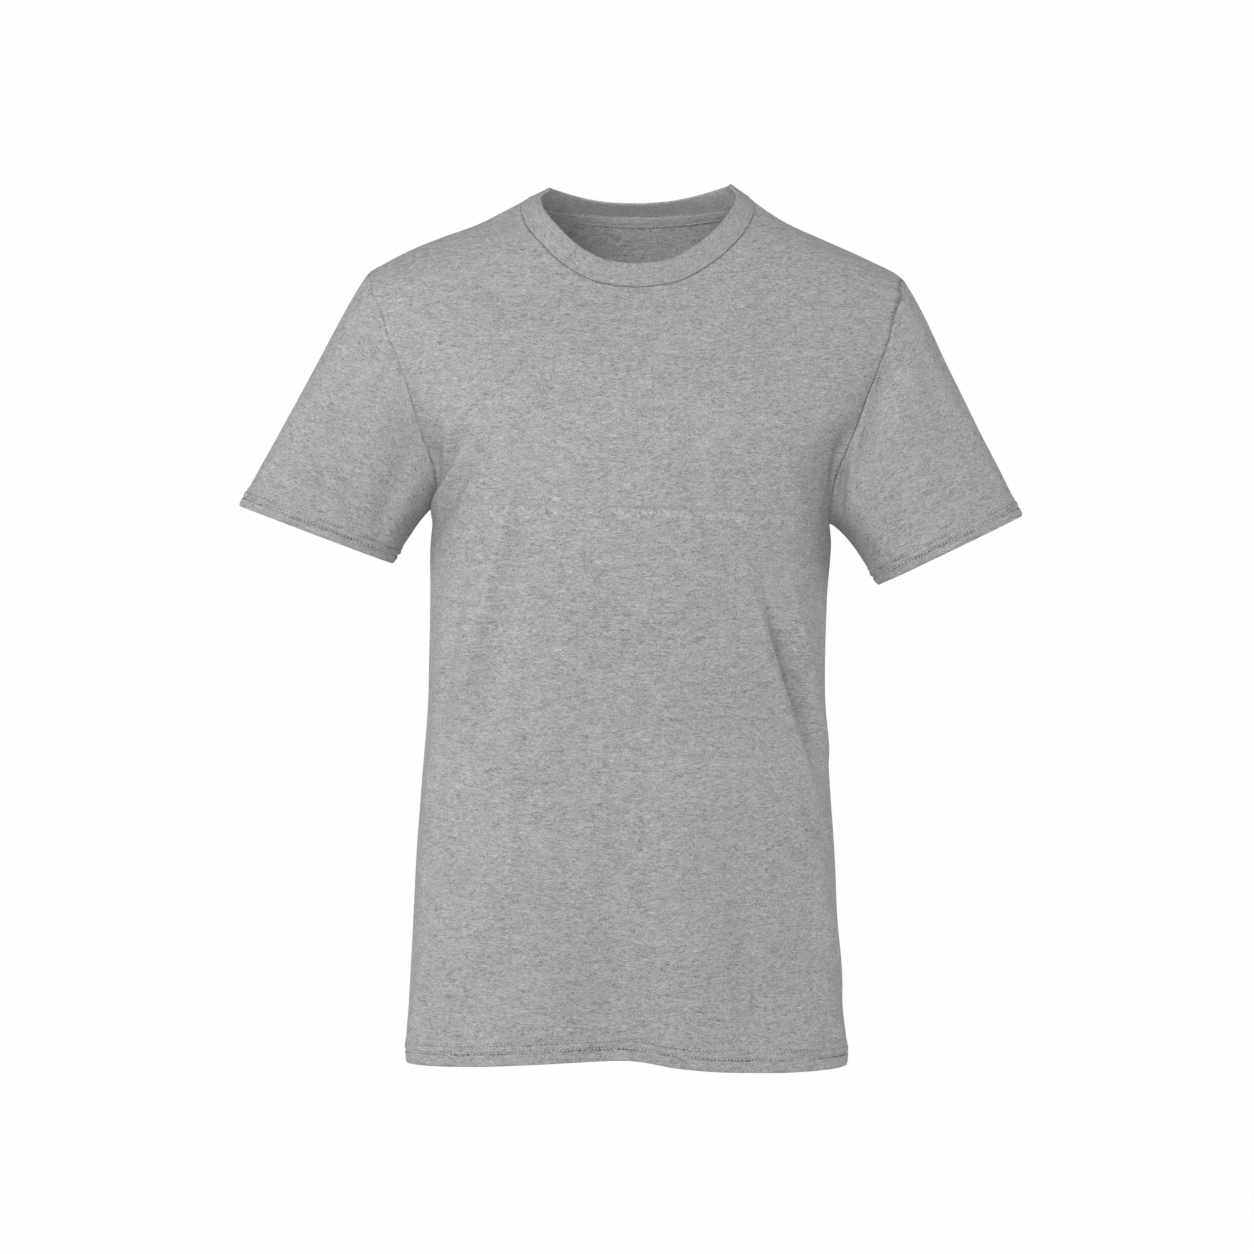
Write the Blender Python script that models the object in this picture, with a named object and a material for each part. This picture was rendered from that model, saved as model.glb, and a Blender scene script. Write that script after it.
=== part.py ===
"""Crew neck t-shirt in heather jersey, filled out as it is worn, with nobody in it.

The front and the back lie on one torso form. The sleeves are tubes from the armholes to the cuffs.
A folded rib collar stands on the neckline, and a tape covers the back neck seam inside.
Metres, +Z up. The front faces -Y, so the wearer's right is -X. The origin is on the shoulder line,
at the middle of the neck, where the wearer's shoulders hold the shirt.
"""
import math
from bisect import bisect_right
from collections import namedtuple

import bmesh
import bpy
from mathutils import Matrix, Vector

MM = 0.001

# Cloth
JERSEY_WALL = 0.0012
HEM_WALL = 0.0024
RIB_WALL = 0.0024
TAPE_WALL = 0.0010
SEAM_GAP = 0.0003
HEM_STEP = 0.0010
TAPE_INSET = 0.0012

# Edges sharper than this many degrees stay crisp
SHARP_EDGE = 40.0

# Sewn widths
BODY_HEM = 0.019
SLEEVE_HEM = 0.0155
COLLAR_WIDTH = 0.0195
TAPE_WIDTH = 0.010

# Heights of the seams that the panels share, in mm: wearer's right, wearer's left
UNDERARM = (-250.0, -266.0)
NECK_POINT = -2.0
HEM_EDGE = -705.0
TIP_SHARE = 0.75

# Stretch of height over which the shoulders round into the chest, either way, in mm
ROUNDING = 45.0

# How much the rows at the shoulder tip climb inwards, in mm, and over what share of the half width
TIP_LIFT = 13.0
TIP_LIFT_REACH = 0.15

# Armhole bulge, forwards and backwards, in mm
ARMHOLE_FRONT = 54.0
ARMHOLE_BACK = 57.0

# Grid of a panel
COLUMNS = 28
BODY_ROWS = 11
ARMHOLE_ROWS = 10
SHOULDER_SHARES = (0.80, 0.86, 0.92, 0.96, 1.0)
SLEEVE_ROWS = 6
COLLAR_SHARES = (0.0, 0.33, 0.66, 0.93)

# Where the side seams and the shoulder seams run, in mm
Side = namedtuple("Side", "height centre right left")
SHOULDERS = (
    Side(-68, 2.0, -221.0, 218.5),
    Side(-64, 2.0, -216.5, 213.5),
    Side(-55, 2.5, -202.0, 195.5),
    Side(-44, 3.0, -180.5, 172.0),
    Side(-33, 3.0, -152.5, 147.0),
    Side(-24, 3.0, -127.0, 127.0),
    Side(-15, 3.2, -109.0, 112.0),
    Side(-2, 4.0, -84.5, 94.0),
)
SIDES = (
    Side(-720, -5.5, -185.0, 173.5),
    Side(-670, -6.0, -183.3, 170.1),
    Side(-605, -7.0, -180.0, 165.4),
    Side(-540, -6.5, -176.8, 163.0),
    Side(-475, -6.5, -172.0, 158.8),
    Side(-400, -6.0, -166.7, 155.0),
    Side(-330, -3.5, -165.3, 156.5),
    Side(-285, -2.0, -165.3, 160.0),
    Side(-266, -1.0, -163.5, 158.7),
    Side(-250, -1.0, -159.7, 157.0),
)

# Half the depth of the torso form, and how round or square its sections are
Depth = namedtuple("Depth", "height front back front_round back_round")
DEPTHS = (
    Depth(-720, 106, 103, 2.30, 2.30),
    Depth(-600, 108, 100, 2.30, 2.30),
    Depth(-500, 111, 97, 2.30, 2.30),
    Depth(-400, 116, 97, 2.30, 2.30),
    Depth(-320, 122, 102, 2.30, 2.30),
    Depth(-250, 124, 109, 2.30, 2.30),
    Depth(-200, 121, 112, 2.25, 2.25),
    Depth(-160, 113, 111, 2.20, 2.20),
    Depth(-120, 97, 106, 2.10, 2.15),
    Depth(-80, 76, 97, 1.95, 2.05),
    Depth(-60, 68, 91, 1.80, 1.95),
    Depth(-43, 62, 85, 1.65, 1.85),
    Depth(-24, 54, 76, 1.55, 1.80),
    Depth(-10, 49, 68, 1.50, 1.75),
    Depth(0, 46, 62, 1.50, 1.70),
)

# The armhole seam, from the underarm (rise 0) to the shoulder tip (rise 1)
Armhole = namedtuple("Armhole", "rise right left")
ARMHOLE = (
    Armhole(0.0, -159.7, 158.7),
    Armhole(0.13, -161.1, 160.5),
    Armhole(0.20, -164.8, 164.5),
    Armhole(0.29, -171.0, 171.5),
    Armhole(0.40, -177.3, 180.0),
    Armhole(0.54, -185.0, 190.3),
    Armhole(0.63, -191.3, 197.5),
    Armhole(0.76, -200.7, 206.7),
    Armhole(0.89, -210.0, 214.5),
    Armhole(1.0, -216.5, 218.5),
)

# Half of the front neckline seam, from the shoulder (share 1) to the middle (share 0)
Neckline = namedtuple("Neckline", "share half_width drop")
FRONT_NECKLINE = (
    Neckline(0.0, 0.0, 77.5),
    Neckline(0.13, 26.5, 74.5),
    Neckline(0.30, 54.5, 61.5),
    Neckline(0.50, 76.5, 42.0),
    Neckline(0.70, 91.0, 22.0),
    Neckline(0.88, 94.8, 8.5),
    Neckline(1.0, 89.0, 0.0),
)
BACK_NECK_DROP = 8.6
BACK_NECK_HALF_WIDTH = 89.0

# How far the collar leans into the neck from the line of its panel, in degrees,
# by its depth in mm, from front to back
Lean = namedtuple("Lean", "depth degrees")
COLLAR_LEANS = (
    Lean(-70, -15.0),
    Lean(-55, -22.0),
    Lean(-40, -24.0),
    Lean(-24, -17.0),
    Lean(0, -9.0),
    Lean(16, -10.0),
    Lean(34, -7.0),
    Lean(52, 12.0),
    Lean(66, 31.0),
)

# Height of the hem edge above HEM_EDGE, in mm, by its share of the way round the panel
Hem = namedtuple("Hem", "share front back")
HEM_LIFTS = (
    Hem(0.0, 0.0, 0.0),
    Hem(0.25, 2.5, 0.5),
    Hem(0.5, 9.5, -1.0),
    Hem(0.58, 3.0, 0.5),
    Hem(0.67, -1.0, 1.0),
    Hem(0.75, -2.0, 1.5),
    Hem(1.0, -1.5, -1.5),
)

# The two cuffs: the ends of their long axis, in mm, and half of the short one
Cuff = namedtuple("Cuff", "side inner_x inner_z outer_x outer_z half_depth forward")
CUFFS = (
    Cuff("right", -195.6, -300.0, -320.5, -252.5, 43.0, 6.0),
    Cuff("left", 198.9, -317.0, 315.6, -260.5, 43.0, 6.0),
)
SLEEVE_CAP_ROLL = 50.0
SLEEVE_END_TURN = 0.05
UNDERARM_SWING = 0.5

# The largest folds: ends and width in mm, height outwards (less than 0 is a trough)
Fold = namedtuple("Fold", "face x0 z0 x1 z1 width height")
FOLDS = (
    Fold("front", 100, -305, 140, -560, 17, 5.0),
    Fold("front", 128, -330, 158, -520, 11, -4.0),
    Fold("front", -118, -330, -150, -520, 20, 3.0),
    Fold("front", 70, -560, 80, -700, 34, 3.5),
    Fold("front", -10, -590, -5, -700, 30, -3.0),
    Fold("back", -95, -300, -125, -640, 24, 4.0),
    Fold("back", 95, -320, 118, -620, 24, 4.5),
    Fold("back", 0, -330, 10, -500, 40, -3.0),
)
FOLD_TAPER = 0.7
FOLD_MARGIN = 0.05

# Colours and finish
HEATHER_GREY = (0.335, 0.335, 0.350)
RIB_GREY = (0.325, 0.325, 0.340)
TAPE_GREY = (0.300, 0.300, 0.315)
COTTON_ROUGHNESS = 0.9


def smooth_through(keys, values):
    """A smooth curve through the points that never overshoots them (keys go up)."""
    gaps = [b - a for a, b in zip(keys, keys[1:])]
    slopes = [(b - a) / gap for a, b, gap in zip(values, values[1:], gaps)]
    tangents = [slopes[0]]
    for i in range(1, len(slopes)):
        before, after = slopes[i - 1], slopes[i]
        if before * after <= 0:
            tangents.append(0.0)
        else:
            w1 = 2 * gaps[i] + gaps[i - 1]
            w2 = gaps[i] + 2 * gaps[i - 1]
            tangents.append((w1 + w2) / (w1 / before + w2 / after))
    tangents.append(slopes[-1])

    def at(key):
        key = min(max(key, keys[0]), keys[-1])
        i = min(bisect_right(keys, key) - 1, len(gaps) - 1)
        t = (key - keys[i]) / gaps[i]
        rise = values[i + 1] - values[i]
        bend = gaps[i] * (tangents[i] * t * (1 - t) ** 2 - tangents[i + 1] * t * t * (1 - t))
        return values[i] + rise * t * t * (3 - 2 * t) + bend

    return at


def column(rows, name):
    return [getattr(row, name) for row in rows]


def lerp(a, b, t):
    return a + (b - a) * t


def smoothstep(t):
    t = min(max(t, 0.0), 1.0)
    return t * t * (3 - 2 * t)


def mirrored(rows, name, sign):
    """A table given for half of the neckline, laid out from shoulder to shoulder."""
    half = column(rows, name)
    return [sign * value for value in reversed(half[1:])] + half


SIDE_NAMES = ("right", "left")
BULGE = {"front": ARMHOLE_FRONT, "back": ARMHOLE_BACK}
FACING = {"front": -1.0, "back": 1.0}

depth_at = {
    name: smooth_through(column(DEPTHS, "height"), column(DEPTHS, name))
    for name in ("front", "back", "front_round", "back_round")
}
centre_at = smooth_through(column(SIDES + SHOULDERS, "height"), column(SIDES + SHOULDERS, "centre"))
hem_lift_at = {name: smooth_through(column(HEM_LIFTS, "share"), column(HEM_LIFTS, name)) for name in FACING}
lean_at = smooth_through(column(COLLAR_LEANS, "depth"), column(COLLAR_LEANS, "degrees"))
neck_shares = mirrored(FRONT_NECKLINE, "share", -1)
front_neck_x = smooth_through(neck_shares, mirrored(FRONT_NECKLINE, "half_width", -1))
front_neck_drop = smooth_through(neck_shares, mirrored(FRONT_NECKLINE, "drop", 1))


def armhole_height(side, rise):
    underarm = UNDERARM[SIDE_NAMES.index(side)]
    return lerp(underarm, NECK_POINT, TIP_SHARE * rise)


def armhole_depth_share(face, side, rise):
    """Depth of the armhole seam as a share of the torso form's depth at its height."""
    bulge = BULGE[face] * math.sin(math.acos(1 - 2 * rise))
    return bulge / depth_at[face](armhole_height(side, rise))


def armhole_angle(face, side, rise):
    deep = armhole_depth_share(face, side, rise)
    power = depth_at[face + "_round"](armhole_height(side, rise))
    wide = (1 - deep ** power) ** (1 / power)
    return math.atan2(wide, deep)


def reach_curve(face, side):
    """Half width of the torso form by height, on one side of one face."""
    underarm = UNDERARM[SIDE_NAMES.index(side)]
    tip = armhole_height(side, 1.0)
    points = [(row.height, abs(getattr(row, side) - row.centre)) for row in SIDES if row.height < underarm]
    for row in ARMHOLE:
        height = armhole_height(side, row.rise)
        power = depth_at[face + "_round"](height)
        wide = (1 - armhole_depth_share(face, side, row.rise) ** power) ** (1 / power)
        points.append((height, abs(getattr(row, side) - centre_at(height)) / wide))
    points += [(row.height, abs(getattr(row, side) - row.centre)) for row in SHOULDERS if row.height > tip]
    return smooth_through([point[0] for point in points], [point[1] for point in points])


reach_at = {(face, side): reach_curve(face, side) for face in FACING for side in SIDE_NAMES}


def soft_reach(face, side, height):
    """The reach averaged over a stretch of heights, for cloth that is away from the seams."""
    steps = [ROUNDING * (i / 4 - 1) for i in range(9)]
    weights = [1 + math.cos(math.pi * step / ROUNDING) for step in steps]
    total = sum(weight * reach_at[face, side](height + step) for weight, step in zip(weights, steps))
    return total / sum(weights)


def on_form(face, angle, height, seam_share):
    """The point of the torso form at an angle from its middle line, in mm."""
    side = "right" if angle < 0 else "left"
    power = depth_at[face + "_round"](height)
    spread = (abs(math.sin(angle)) ** power + abs(math.cos(angle)) ** power) ** (1 / power)
    reach = lerp(soft_reach(face, side, height), reach_at[face, side](height), seam_share)
    x = centre_at(height) + reach * math.sin(angle) / spread
    y = FACING[face] * depth_at[face](height) * math.cos(angle) / spread
    return Vector((x, y, height))


def neckline(face, share):
    """Angle and height of the neckline seam, share -1 to 1 from shoulder to shoulder."""
    if face == "front":
        wide = abs(front_neck_x(share))
        height = NECK_POINT - front_neck_drop(share)
    else:
        wide = BACK_NECK_HALF_WIDTH * abs(math.sin(share * math.pi / 2))
        height = NECK_POINT - BACK_NECK_DROP * math.cos(share * math.pi / 2)
    side = "right" if share < 0 else "left"
    power = depth_at[face + "_round"](height)
    wide = min(wide / reach_at[face, side](height), 1.0)
    if abs(share) > 1 - 1e-9:
        wide = 1.0
    angle = math.atan2(wide, (1 - wide ** power) ** (1 / power))
    return math.copysign(angle, share), height


def edge_angle(face, side, level):
    """Angle of a panel's side edge: side seam, then armhole, then shoulder seam."""
    rise = (level - 1) / TIP_SHARE
    if rise <= 0 or rise >= 1:
        return math.pi / 2
    return armhole_angle(face, side, rise)


def tip_lift(rise, from_edge):
    """The rows that leave the shoulder tip climb along the shoulder before they cross the chest."""
    near_tip = max(0.0, 1 - ((rise - TIP_SHARE) / (1 - TIP_SHARE)) ** 2) ** 2
    inwards = from_edge / TIP_LIFT_REACH * math.exp(1 - from_edge / TIP_LIFT_REACH)
    return TIP_LIFT * near_tip * inwards


def panel_point(face, across, level):
    """A point of a panel. Level 0 is the hem edge, 1 the underarm and 2 the neckline."""
    share = 2 * across - 1
    underarm = lerp(UNDERARM[0], UNDERARM[1], across)
    neck_angle, neck_height = neckline(face, share)
    if level <= 1:
        height = lerp(HEM_EDGE + hem_lift_at[face](across), underarm, level)
        rise = 0.0
    else:
        rise = level - 1
        height = lerp(underarm, neck_height, rise) + tip_lift(rise, 1 - abs(share))
    right = -edge_angle(face, "right", level)
    left = edge_angle(face, "left", level)
    gather = smoothstep(rise)
    stretch = lerp(share, neck_angle / (math.pi / 2), gather)
    angle = lerp(right, left, (stretch + 1) / 2)
    return on_form(face, angle, height, max(abs(share), smoothstep(rise)) ** 6)


def fold_height(face, point, across):
    """How far the folds move a point of a panel outwards, in mm. They die out at the side seams."""
    total = 0.0
    calm = smoothstep(across * (1 - across) / FOLD_MARGIN)
    for fold in FOLDS:
        if fold.face != face:
            continue
        run = Vector((fold.x1 - fold.x0, fold.z1 - fold.z0))
        to_point = Vector((point.x - fold.x0, point.z - fold.z0))
        along = to_point.dot(run) / run.length_squared
        if not 0 < along < 1:
            continue
        away = (to_point - along * run).length / fold.width
        total += fold.height * math.exp(-away * away) * math.sin(math.pi * along) ** FOLD_TAPER
    return total * calm


def panel_levels():
    hem_share = BODY_HEM / MM / (UNDERARM[0] - HEM_EDGE)
    step_share = HEM_STEP / MM / (UNDERARM[0] - HEM_EDGE)
    levels = [0.0, hem_share, hem_share + step_share]
    start = levels[-1]
    levels += [lerp(start, 1.0, (i + 1) / BODY_ROWS) for i in range(BODY_ROWS)]
    for i in range(1, ARMHOLE_ROWS + 1):
        levels.append(1 + TIP_SHARE * (1 - math.cos(math.pi * i / ARMHOLE_ROWS)) / 2)
    levels += [1 + share for share in SHOULDER_SHARES]
    return levels


LEVELS = panel_levels()
UNDERARM_ROW = 2 + BODY_ROWS
TIP_ROW = UNDERARM_ROW + ARMHOLE_ROWS


def grid_normals(grid, closed):
    """Unit normals of a grid of points, facing out of the garment."""
    rows, columns = len(grid), len(grid[0])
    normals = []
    for j in range(rows):
        line = []
        for i in range(columns):
            if closed:
                before, after = grid[j][i - 1], grid[j][(i + 1) % columns]
            else:
                before, after = grid[j][max(i - 1, 0)], grid[j][min(i + 1, columns - 1)]
            below, above = grid[max(j - 1, 0)][i], grid[min(j + 1, rows - 1)][i]
            line.append((after - before).cross(above - below).normalized())
        normals.append(line)
    return normals


def flipped(normals):
    return [[-normal for normal in line] for line in normals]


def panel_grid(face):
    """The middle of the panel's cloth, in metres, with its folds."""
    flat = []
    for level in LEVELS:
        flat.append([panel_point(face, i / COLUMNS, level) for i in range(COLUMNS + 1)])
    normals = grid_normals(flat, closed=False)
    if face == "back":
        normals = flipped(normals)
    grid = []
    for j, line in enumerate(flat):
        moved = []
        for i, point in enumerate(line):
            lift = fold_height(face, point, i / COLUMNS)
            moved.append((point + normals[j][i] * lift) * MM)
        grid.append(moved)
    return grid


def armhole_loop(front, back, edge):
    """The armhole seam: up the front from the underarm to the tip, and down the back."""
    rows = range(UNDERARM_ROW, TIP_ROW)
    up = [front[j][edge] for j in rows]
    down = [back[j][edge] for j in range(TIP_ROW, UNDERARM_ROW, -1)]
    return up + down


def cuff_loop(cuff, count):
    inner = Vector((cuff.inner_x, -cuff.forward, cuff.inner_z)) * MM
    outer = Vector((cuff.outer_x, -cuff.forward, cuff.outer_z)) * MM
    middle = (inner + outer) / 2
    loop = []
    for i in range(count):
        turn = 2 * math.pi * i / count
        deep = Vector((0, -cuff.half_depth * MM * math.sin(turn), 0))
        loop.append(middle + (inner - middle) * math.cos(turn) + deep)
    return loop


def hermite(start, start_pull, end, end_pull, t):
    ease = t * t * (3 - 2 * t)
    bend = start_pull * (t * (1 - t) ** 2) - end_pull * (t * t * (1 - t))
    return start + (end - start) * ease + bend


def sleeve_grid(cuff, loop, outwards):
    """The middle of the sleeve's cloth, from the armhole to the cuff."""
    count = len(loop)
    ends = cuff_loop(cuff, count)
    across = Vector((cuff.outer_x - cuff.inner_x, 0, cuff.outer_z - cuff.inner_z)).normalized()
    side = math.copysign(1.0, cuff.outer_x)
    down = Vector((across.z * side, 0, -across.x * side)).normalized()
    lines = []
    for i, (start, end) in enumerate(zip(loop, ends)):
        turn = 2 * math.pi * i / count
        reach = end - start
        top = (1 - math.cos(turn)) / 2
        heading = reach.normalized() + Vector((side, 0, 0)) * UNDERARM_SWING * (1 - top) ** 4
        roll = outwards[i] * SLEEVE_CAP_ROLL * MM * top
        start_pull = heading.normalized() * reach.length
        end_pull = reach.lerp(down * reach.length, SLEEVE_END_TURN)
        hem = 1 - SLEEVE_HEM / reach.length
        step = HEM_STEP / reach.length
        shares = [(hem - step) * j / SLEEVE_ROWS for j in range(SLEEVE_ROWS + 1)] + [hem, 1.0]
        lines.append([
            hermite(start, start_pull, end, end_pull, share) + roll * (share * (1 - share) ** 6)
            for share in shares
        ])
    return [[line[j] for line in lines] for j in range(len(lines[0]))]


def seam_frame(points, normals, closed):
    """Across each point of a seam: the unit direction square to the seam and its normal."""
    count = len(points)
    across = []
    for i in range(count):
        if closed:
            run = points[(i + 1) % count] - points[i - 1]
        else:
            run = points[min(i + 1, count - 1)] - points[max(i - 1, 0)]
        across.append(normals[i].cross(run).normalized())
    return across


def make_material(name, colour):
    material = bpy.data.materials.new(name)
    material.use_nodes = True
    shader = material.node_tree.nodes["Principled BSDF"]
    shader.inputs["Base Color"].default_value = (*colour, 1.0)
    shader.inputs["Roughness"].default_value = COTTON_ROUGHNESS
    shader.inputs["Metallic"].default_value = 0.0
    return material


def add_object(name, mesh_builder, material):
    """Close the builder's faces into one object with outward normals."""
    bm = bmesh.new()
    mesh_builder(bm)
    bmesh.ops.recalc_face_normals(bm, faces=bm.faces)
    mesh = bpy.data.meshes.new(name)
    bm.to_mesh(mesh)
    bm.free()
    mesh.shade_smooth()
    mesh.set_sharp_from_angle(angle=math.radians(SHARP_EDGE))
    mesh.materials.append(material)
    bpy.context.scene.collection.objects.link(bpy.data.objects.new(name, mesh))


def skin_rows(bm, rows, closed):
    """Quads between neighbouring rows of vertices."""
    count = len(rows[0])
    last = count if closed else count - 1
    for low, high in zip(rows, rows[1:]):
        for i in range(last):
            k = (i + 1) % count
            bm.faces.new((low[i], low[k], high[k], high[i]))


def wall(grid, normals, half_walls, closed):
    """A builder of a cloth wall: an outer and an inner skin, and the rims between them."""
    def build(bm):
        outer, inner = [], []
        for line, directions, half in zip(grid, normals, half_walls):
            outer.append([bm.verts.new(p + n * half) for p, n in zip(line, directions)])
            inner.append([bm.verts.new(p - n * half) for p, n in zip(line, directions)])
        skin_rows(bm, outer, closed)
        skin_rows(bm, inner, closed)
        skin_rows(bm, [outer[0], inner[0]], closed)
        skin_rows(bm, [outer[-1], inner[-1]], closed)
        if not closed:
            for edge in (0, -1):
                skin_rows(bm, [[row[edge] for row in outer], [row[edge] for row in inner]], False)
    return build


def share_normals(*places):
    """Give the meeting points of several pieces one normal, their mean."""
    total = Vector((0, 0, 0))
    for normals, j, i in places:
        total += normals[j][i]
    total.normalize()
    for normals, j, i in places:
        normals[j][i] = total.copy()


def collar_loop(front, back):
    """The neckline seam, across the front from right to left, and back again behind."""
    return list(front[-1]) + list(reversed(back[-1][1:-1]))


def build_shirt():
    front = panel_grid("front")
    back = panel_grid("back")
    front_normals = grid_normals(front, closed=False)
    back_normals = flipped(grid_normals(back, closed=False))
    edges = {"right": 0, "left": COLUMNS}

    # Side and shoulder seams: the panels share their edge's normals
    for j in list(range(UNDERARM_ROW + 1)) + list(range(TIP_ROW, len(LEVELS))):
        for edge in edges.values():
            share_normals((front_normals, j, edge), (back_normals, j, edge))

    # Sleeves, which share the armhole's points and normals with both panels
    sleeves = {}
    shifts_front = [[Vector((0, 0, 0)) for _ in line] for line in front]
    shifts_back = [[Vector((0, 0, 0)) for _ in line] for line in back]
    half_gap = SEAM_GAP / 2
    for cuff in CUFFS:
        edge = edges[cuff.side]
        loop = armhole_loop(front, back, edge)
        places = [(front_normals, shifts_front, j) for j in range(UNDERARM_ROW, TIP_ROW)]
        places += [(back_normals, shifts_back, j) for j in range(TIP_ROW, UNDERARM_ROW, -1)]
        turn = 1 if cuff.side == "right" else -1
        panel_side = [normals[j][edge] for normals, _, j in places]
        outwards = [turn * d for d in seam_frame(loop, panel_side, closed=True)]
        grid = sleeve_grid(cuff, loop, outwards)
        normals = grid_normals(grid, closed=True)
        if cuff.side == "left":
            normals = flipped(normals)
        for i, (piece_normals, _, j) in enumerate(places):
            share_normals((piece_normals, j, edge), (normals, 0, i))
        front_normals[TIP_ROW][edge] = back_normals[TIP_ROW][edge] = normals[0][ARMHOLE_ROWS]
        front_normals[UNDERARM_ROW][edge] = back_normals[UNDERARM_ROW][edge] = normals[0][0]
        outwards = [turn * d for d in seam_frame(loop, normals[0], closed=True)]
        for i, (_, shifts, j) in enumerate(places):
            shifts[j][edge] -= outwards[i] * half_gap
        shifts_back[UNDERARM_ROW][edge] -= outwards[0] * half_gap
        shifts_front[TIP_ROW][edge] -= outwards[ARMHOLE_ROWS] * half_gap
        grid[0] = [point + d * half_gap for point, d in zip(loop, outwards)]
        sleeves[cuff.side] = (grid, normals)

    # Collar, which shares the neckline's points with both panels
    loop = collar_loop(front, back)
    loop_normals = list(front_normals[-1]) + list(reversed(back_normals[-1][1:-1]))
    upwards = seam_frame(loop, loop_normals, closed=True)
    for i, up in enumerate(upwards[:COLUMNS + 1]):
        shifts_front[-1][i] -= up * half_gap
    for i, up in enumerate(upwards[COLUMNS + 1:]):
        shifts_back[-1][COLUMNS - 1 - i] -= up * half_gap
    shifts_back[-1][0] -= upwards[0] * half_gap
    shifts_back[-1][COLUMNS] -= upwards[COLUMNS] * half_gap

    # Open the side and shoulder seams between the panels
    for j in list(range(UNDERARM_ROW + 1)) + list(range(TIP_ROW, len(LEVELS))):
        for edge in edges.values():
            shifts_front[j][edge] += Vector((0, -half_gap, 0))
            shifts_back[j][edge] += Vector((0, half_gap, 0))

    jersey = make_material("heather_jersey", HEATHER_GREY)
    rib = make_material("heather_rib", RIB_GREY)
    tape = make_material("neck_tape", TAPE_GREY)
    make_panel("front_panel", front, front_normals, shifts_front, jersey)
    make_panel("back_panel", back, back_normals, shifts_back, jersey)
    for side, (grid, normals) in sleeves.items():
        half_walls = [JERSEY_WALL / 2] * (SLEEVE_ROWS + 1) + [HEM_WALL / 2] * 2
        add_object("sleeve_" + side, wall(grid, normals, half_walls, closed=True), jersey)
    make_collar(loop, loop_normals, upwards, rib)
    make_tape(back, back_normals, tape)


def make_panel(name, grid, normals, shifts, material):
    moved = [[p + s for p, s in zip(line, steps)] for line, steps in zip(grid, shifts)]
    half_walls = [HEM_WALL / 2] * 2 + [JERSEY_WALL / 2] * (len(grid) - 2)
    add_object(name, wall(moved, normals, half_walls, closed=False), material)


def make_collar(loop, loop_normals, upwards, material):
    """A band folded on itself: up its outside, round the fold and down its inside."""
    count = len(loop)
    half = RIB_WALL / 2

    def build(bm):
        rings = []
        for i, (point, normal, up) in enumerate(zip(loop, loop_normals, upwards)):
            turn = Matrix.Rotation(math.radians(lean_at(point.y / MM)), 3, normal.cross(up))
            rise = turn @ up
            face = turn @ normal
            ring = []
            for share in COLLAR_SHARES:
                side = normal if share == 0 else face
                middle = point + up * (SEAM_GAP / 2) + rise * (COLLAR_WIDTH * share)
                ring.append(middle + side * half)
            ring.append(point + rise * COLLAR_WIDTH)
            for share in reversed(COLLAR_SHARES):
                side = normal if share == 0 else face
                middle = point + up * (SEAM_GAP / 2) + rise * (COLLAR_WIDTH * share)
                ring.append(middle - side * half)
            rings.append([bm.verts.new(p) for p in ring])
        for i in range(count):
            here, there = rings[i], rings[(i + 1) % count]
            for k in range(len(here)):
                m = (k + 1) % len(here)
                bm.faces.new((here[k], there[k], there[m], here[m]))

    add_object("neck_rib", build, material)


def make_tape(back, normals, material):
    """A strip inside the back neck, made from the back's top two rows, moved inwards."""
    offset = JERSEY_WALL / 2 + SEAM_GAP + TAPE_WALL / 2
    rows = []
    directions = []
    for distance in (TAPE_INSET, TAPE_INSET + TAPE_WIDTH / 2, TAPE_INSET + TAPE_WIDTH):
        line = []
        facing = []
        for i in range(1, COLUMNS):
            top, next_row = back[-1][i], back[-2][i]
            share = distance / (next_row - top).length
            normal = normals[-1][i].lerp(normals[-2][i], share).normalized()
            line.append(top.lerp(next_row, share) - normal * offset)
            facing.append(normal)
        rows.append(line)
        directions.append(facing)
    half_walls = [TAPE_WALL / 2] * 3
    add_object("back_neck_tape", wall(rows, directions, half_walls, closed=False), material)


def main():
    for thing in list(bpy.data.objects):
        bpy.data.objects.remove(thing)
    build_shirt()


main()
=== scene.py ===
import math
from collections import namedtuple

import bpy
import numpy as np
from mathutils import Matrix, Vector


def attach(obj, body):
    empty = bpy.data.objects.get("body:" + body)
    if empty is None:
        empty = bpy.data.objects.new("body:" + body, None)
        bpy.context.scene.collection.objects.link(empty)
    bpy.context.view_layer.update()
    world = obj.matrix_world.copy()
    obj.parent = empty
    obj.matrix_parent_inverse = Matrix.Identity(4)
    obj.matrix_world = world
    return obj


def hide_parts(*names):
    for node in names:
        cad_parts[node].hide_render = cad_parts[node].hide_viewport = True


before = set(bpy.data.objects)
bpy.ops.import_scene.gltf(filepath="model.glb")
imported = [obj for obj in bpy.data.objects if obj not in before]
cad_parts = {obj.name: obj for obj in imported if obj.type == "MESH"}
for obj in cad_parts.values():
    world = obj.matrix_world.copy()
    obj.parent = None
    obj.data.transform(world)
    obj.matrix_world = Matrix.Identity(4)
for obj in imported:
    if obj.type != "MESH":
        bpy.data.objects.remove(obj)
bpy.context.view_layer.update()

MM = 0.001

# ---------------------------------------------------------------- the cut and the form, in mm

# Heights are below the shoulder line, right is the wearer's right, and the front faces -Y.
UNDERARM = (-250.0, -266.0)
NECK_POINT = -2.0
HEM_EDGE = -705.0
# how far up from the underarm to the neck the shoulder tip lies
TIP_SHARE = 0.75
ROUNDING = 45.0
TIP_LIFT = 13.0
TIP_LIFT_REACH = 0.15
EDGE_REACH = 0.30
ARMHOLE_FRONT = 54.0
ARMHOLE_BACK = 57.0

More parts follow.
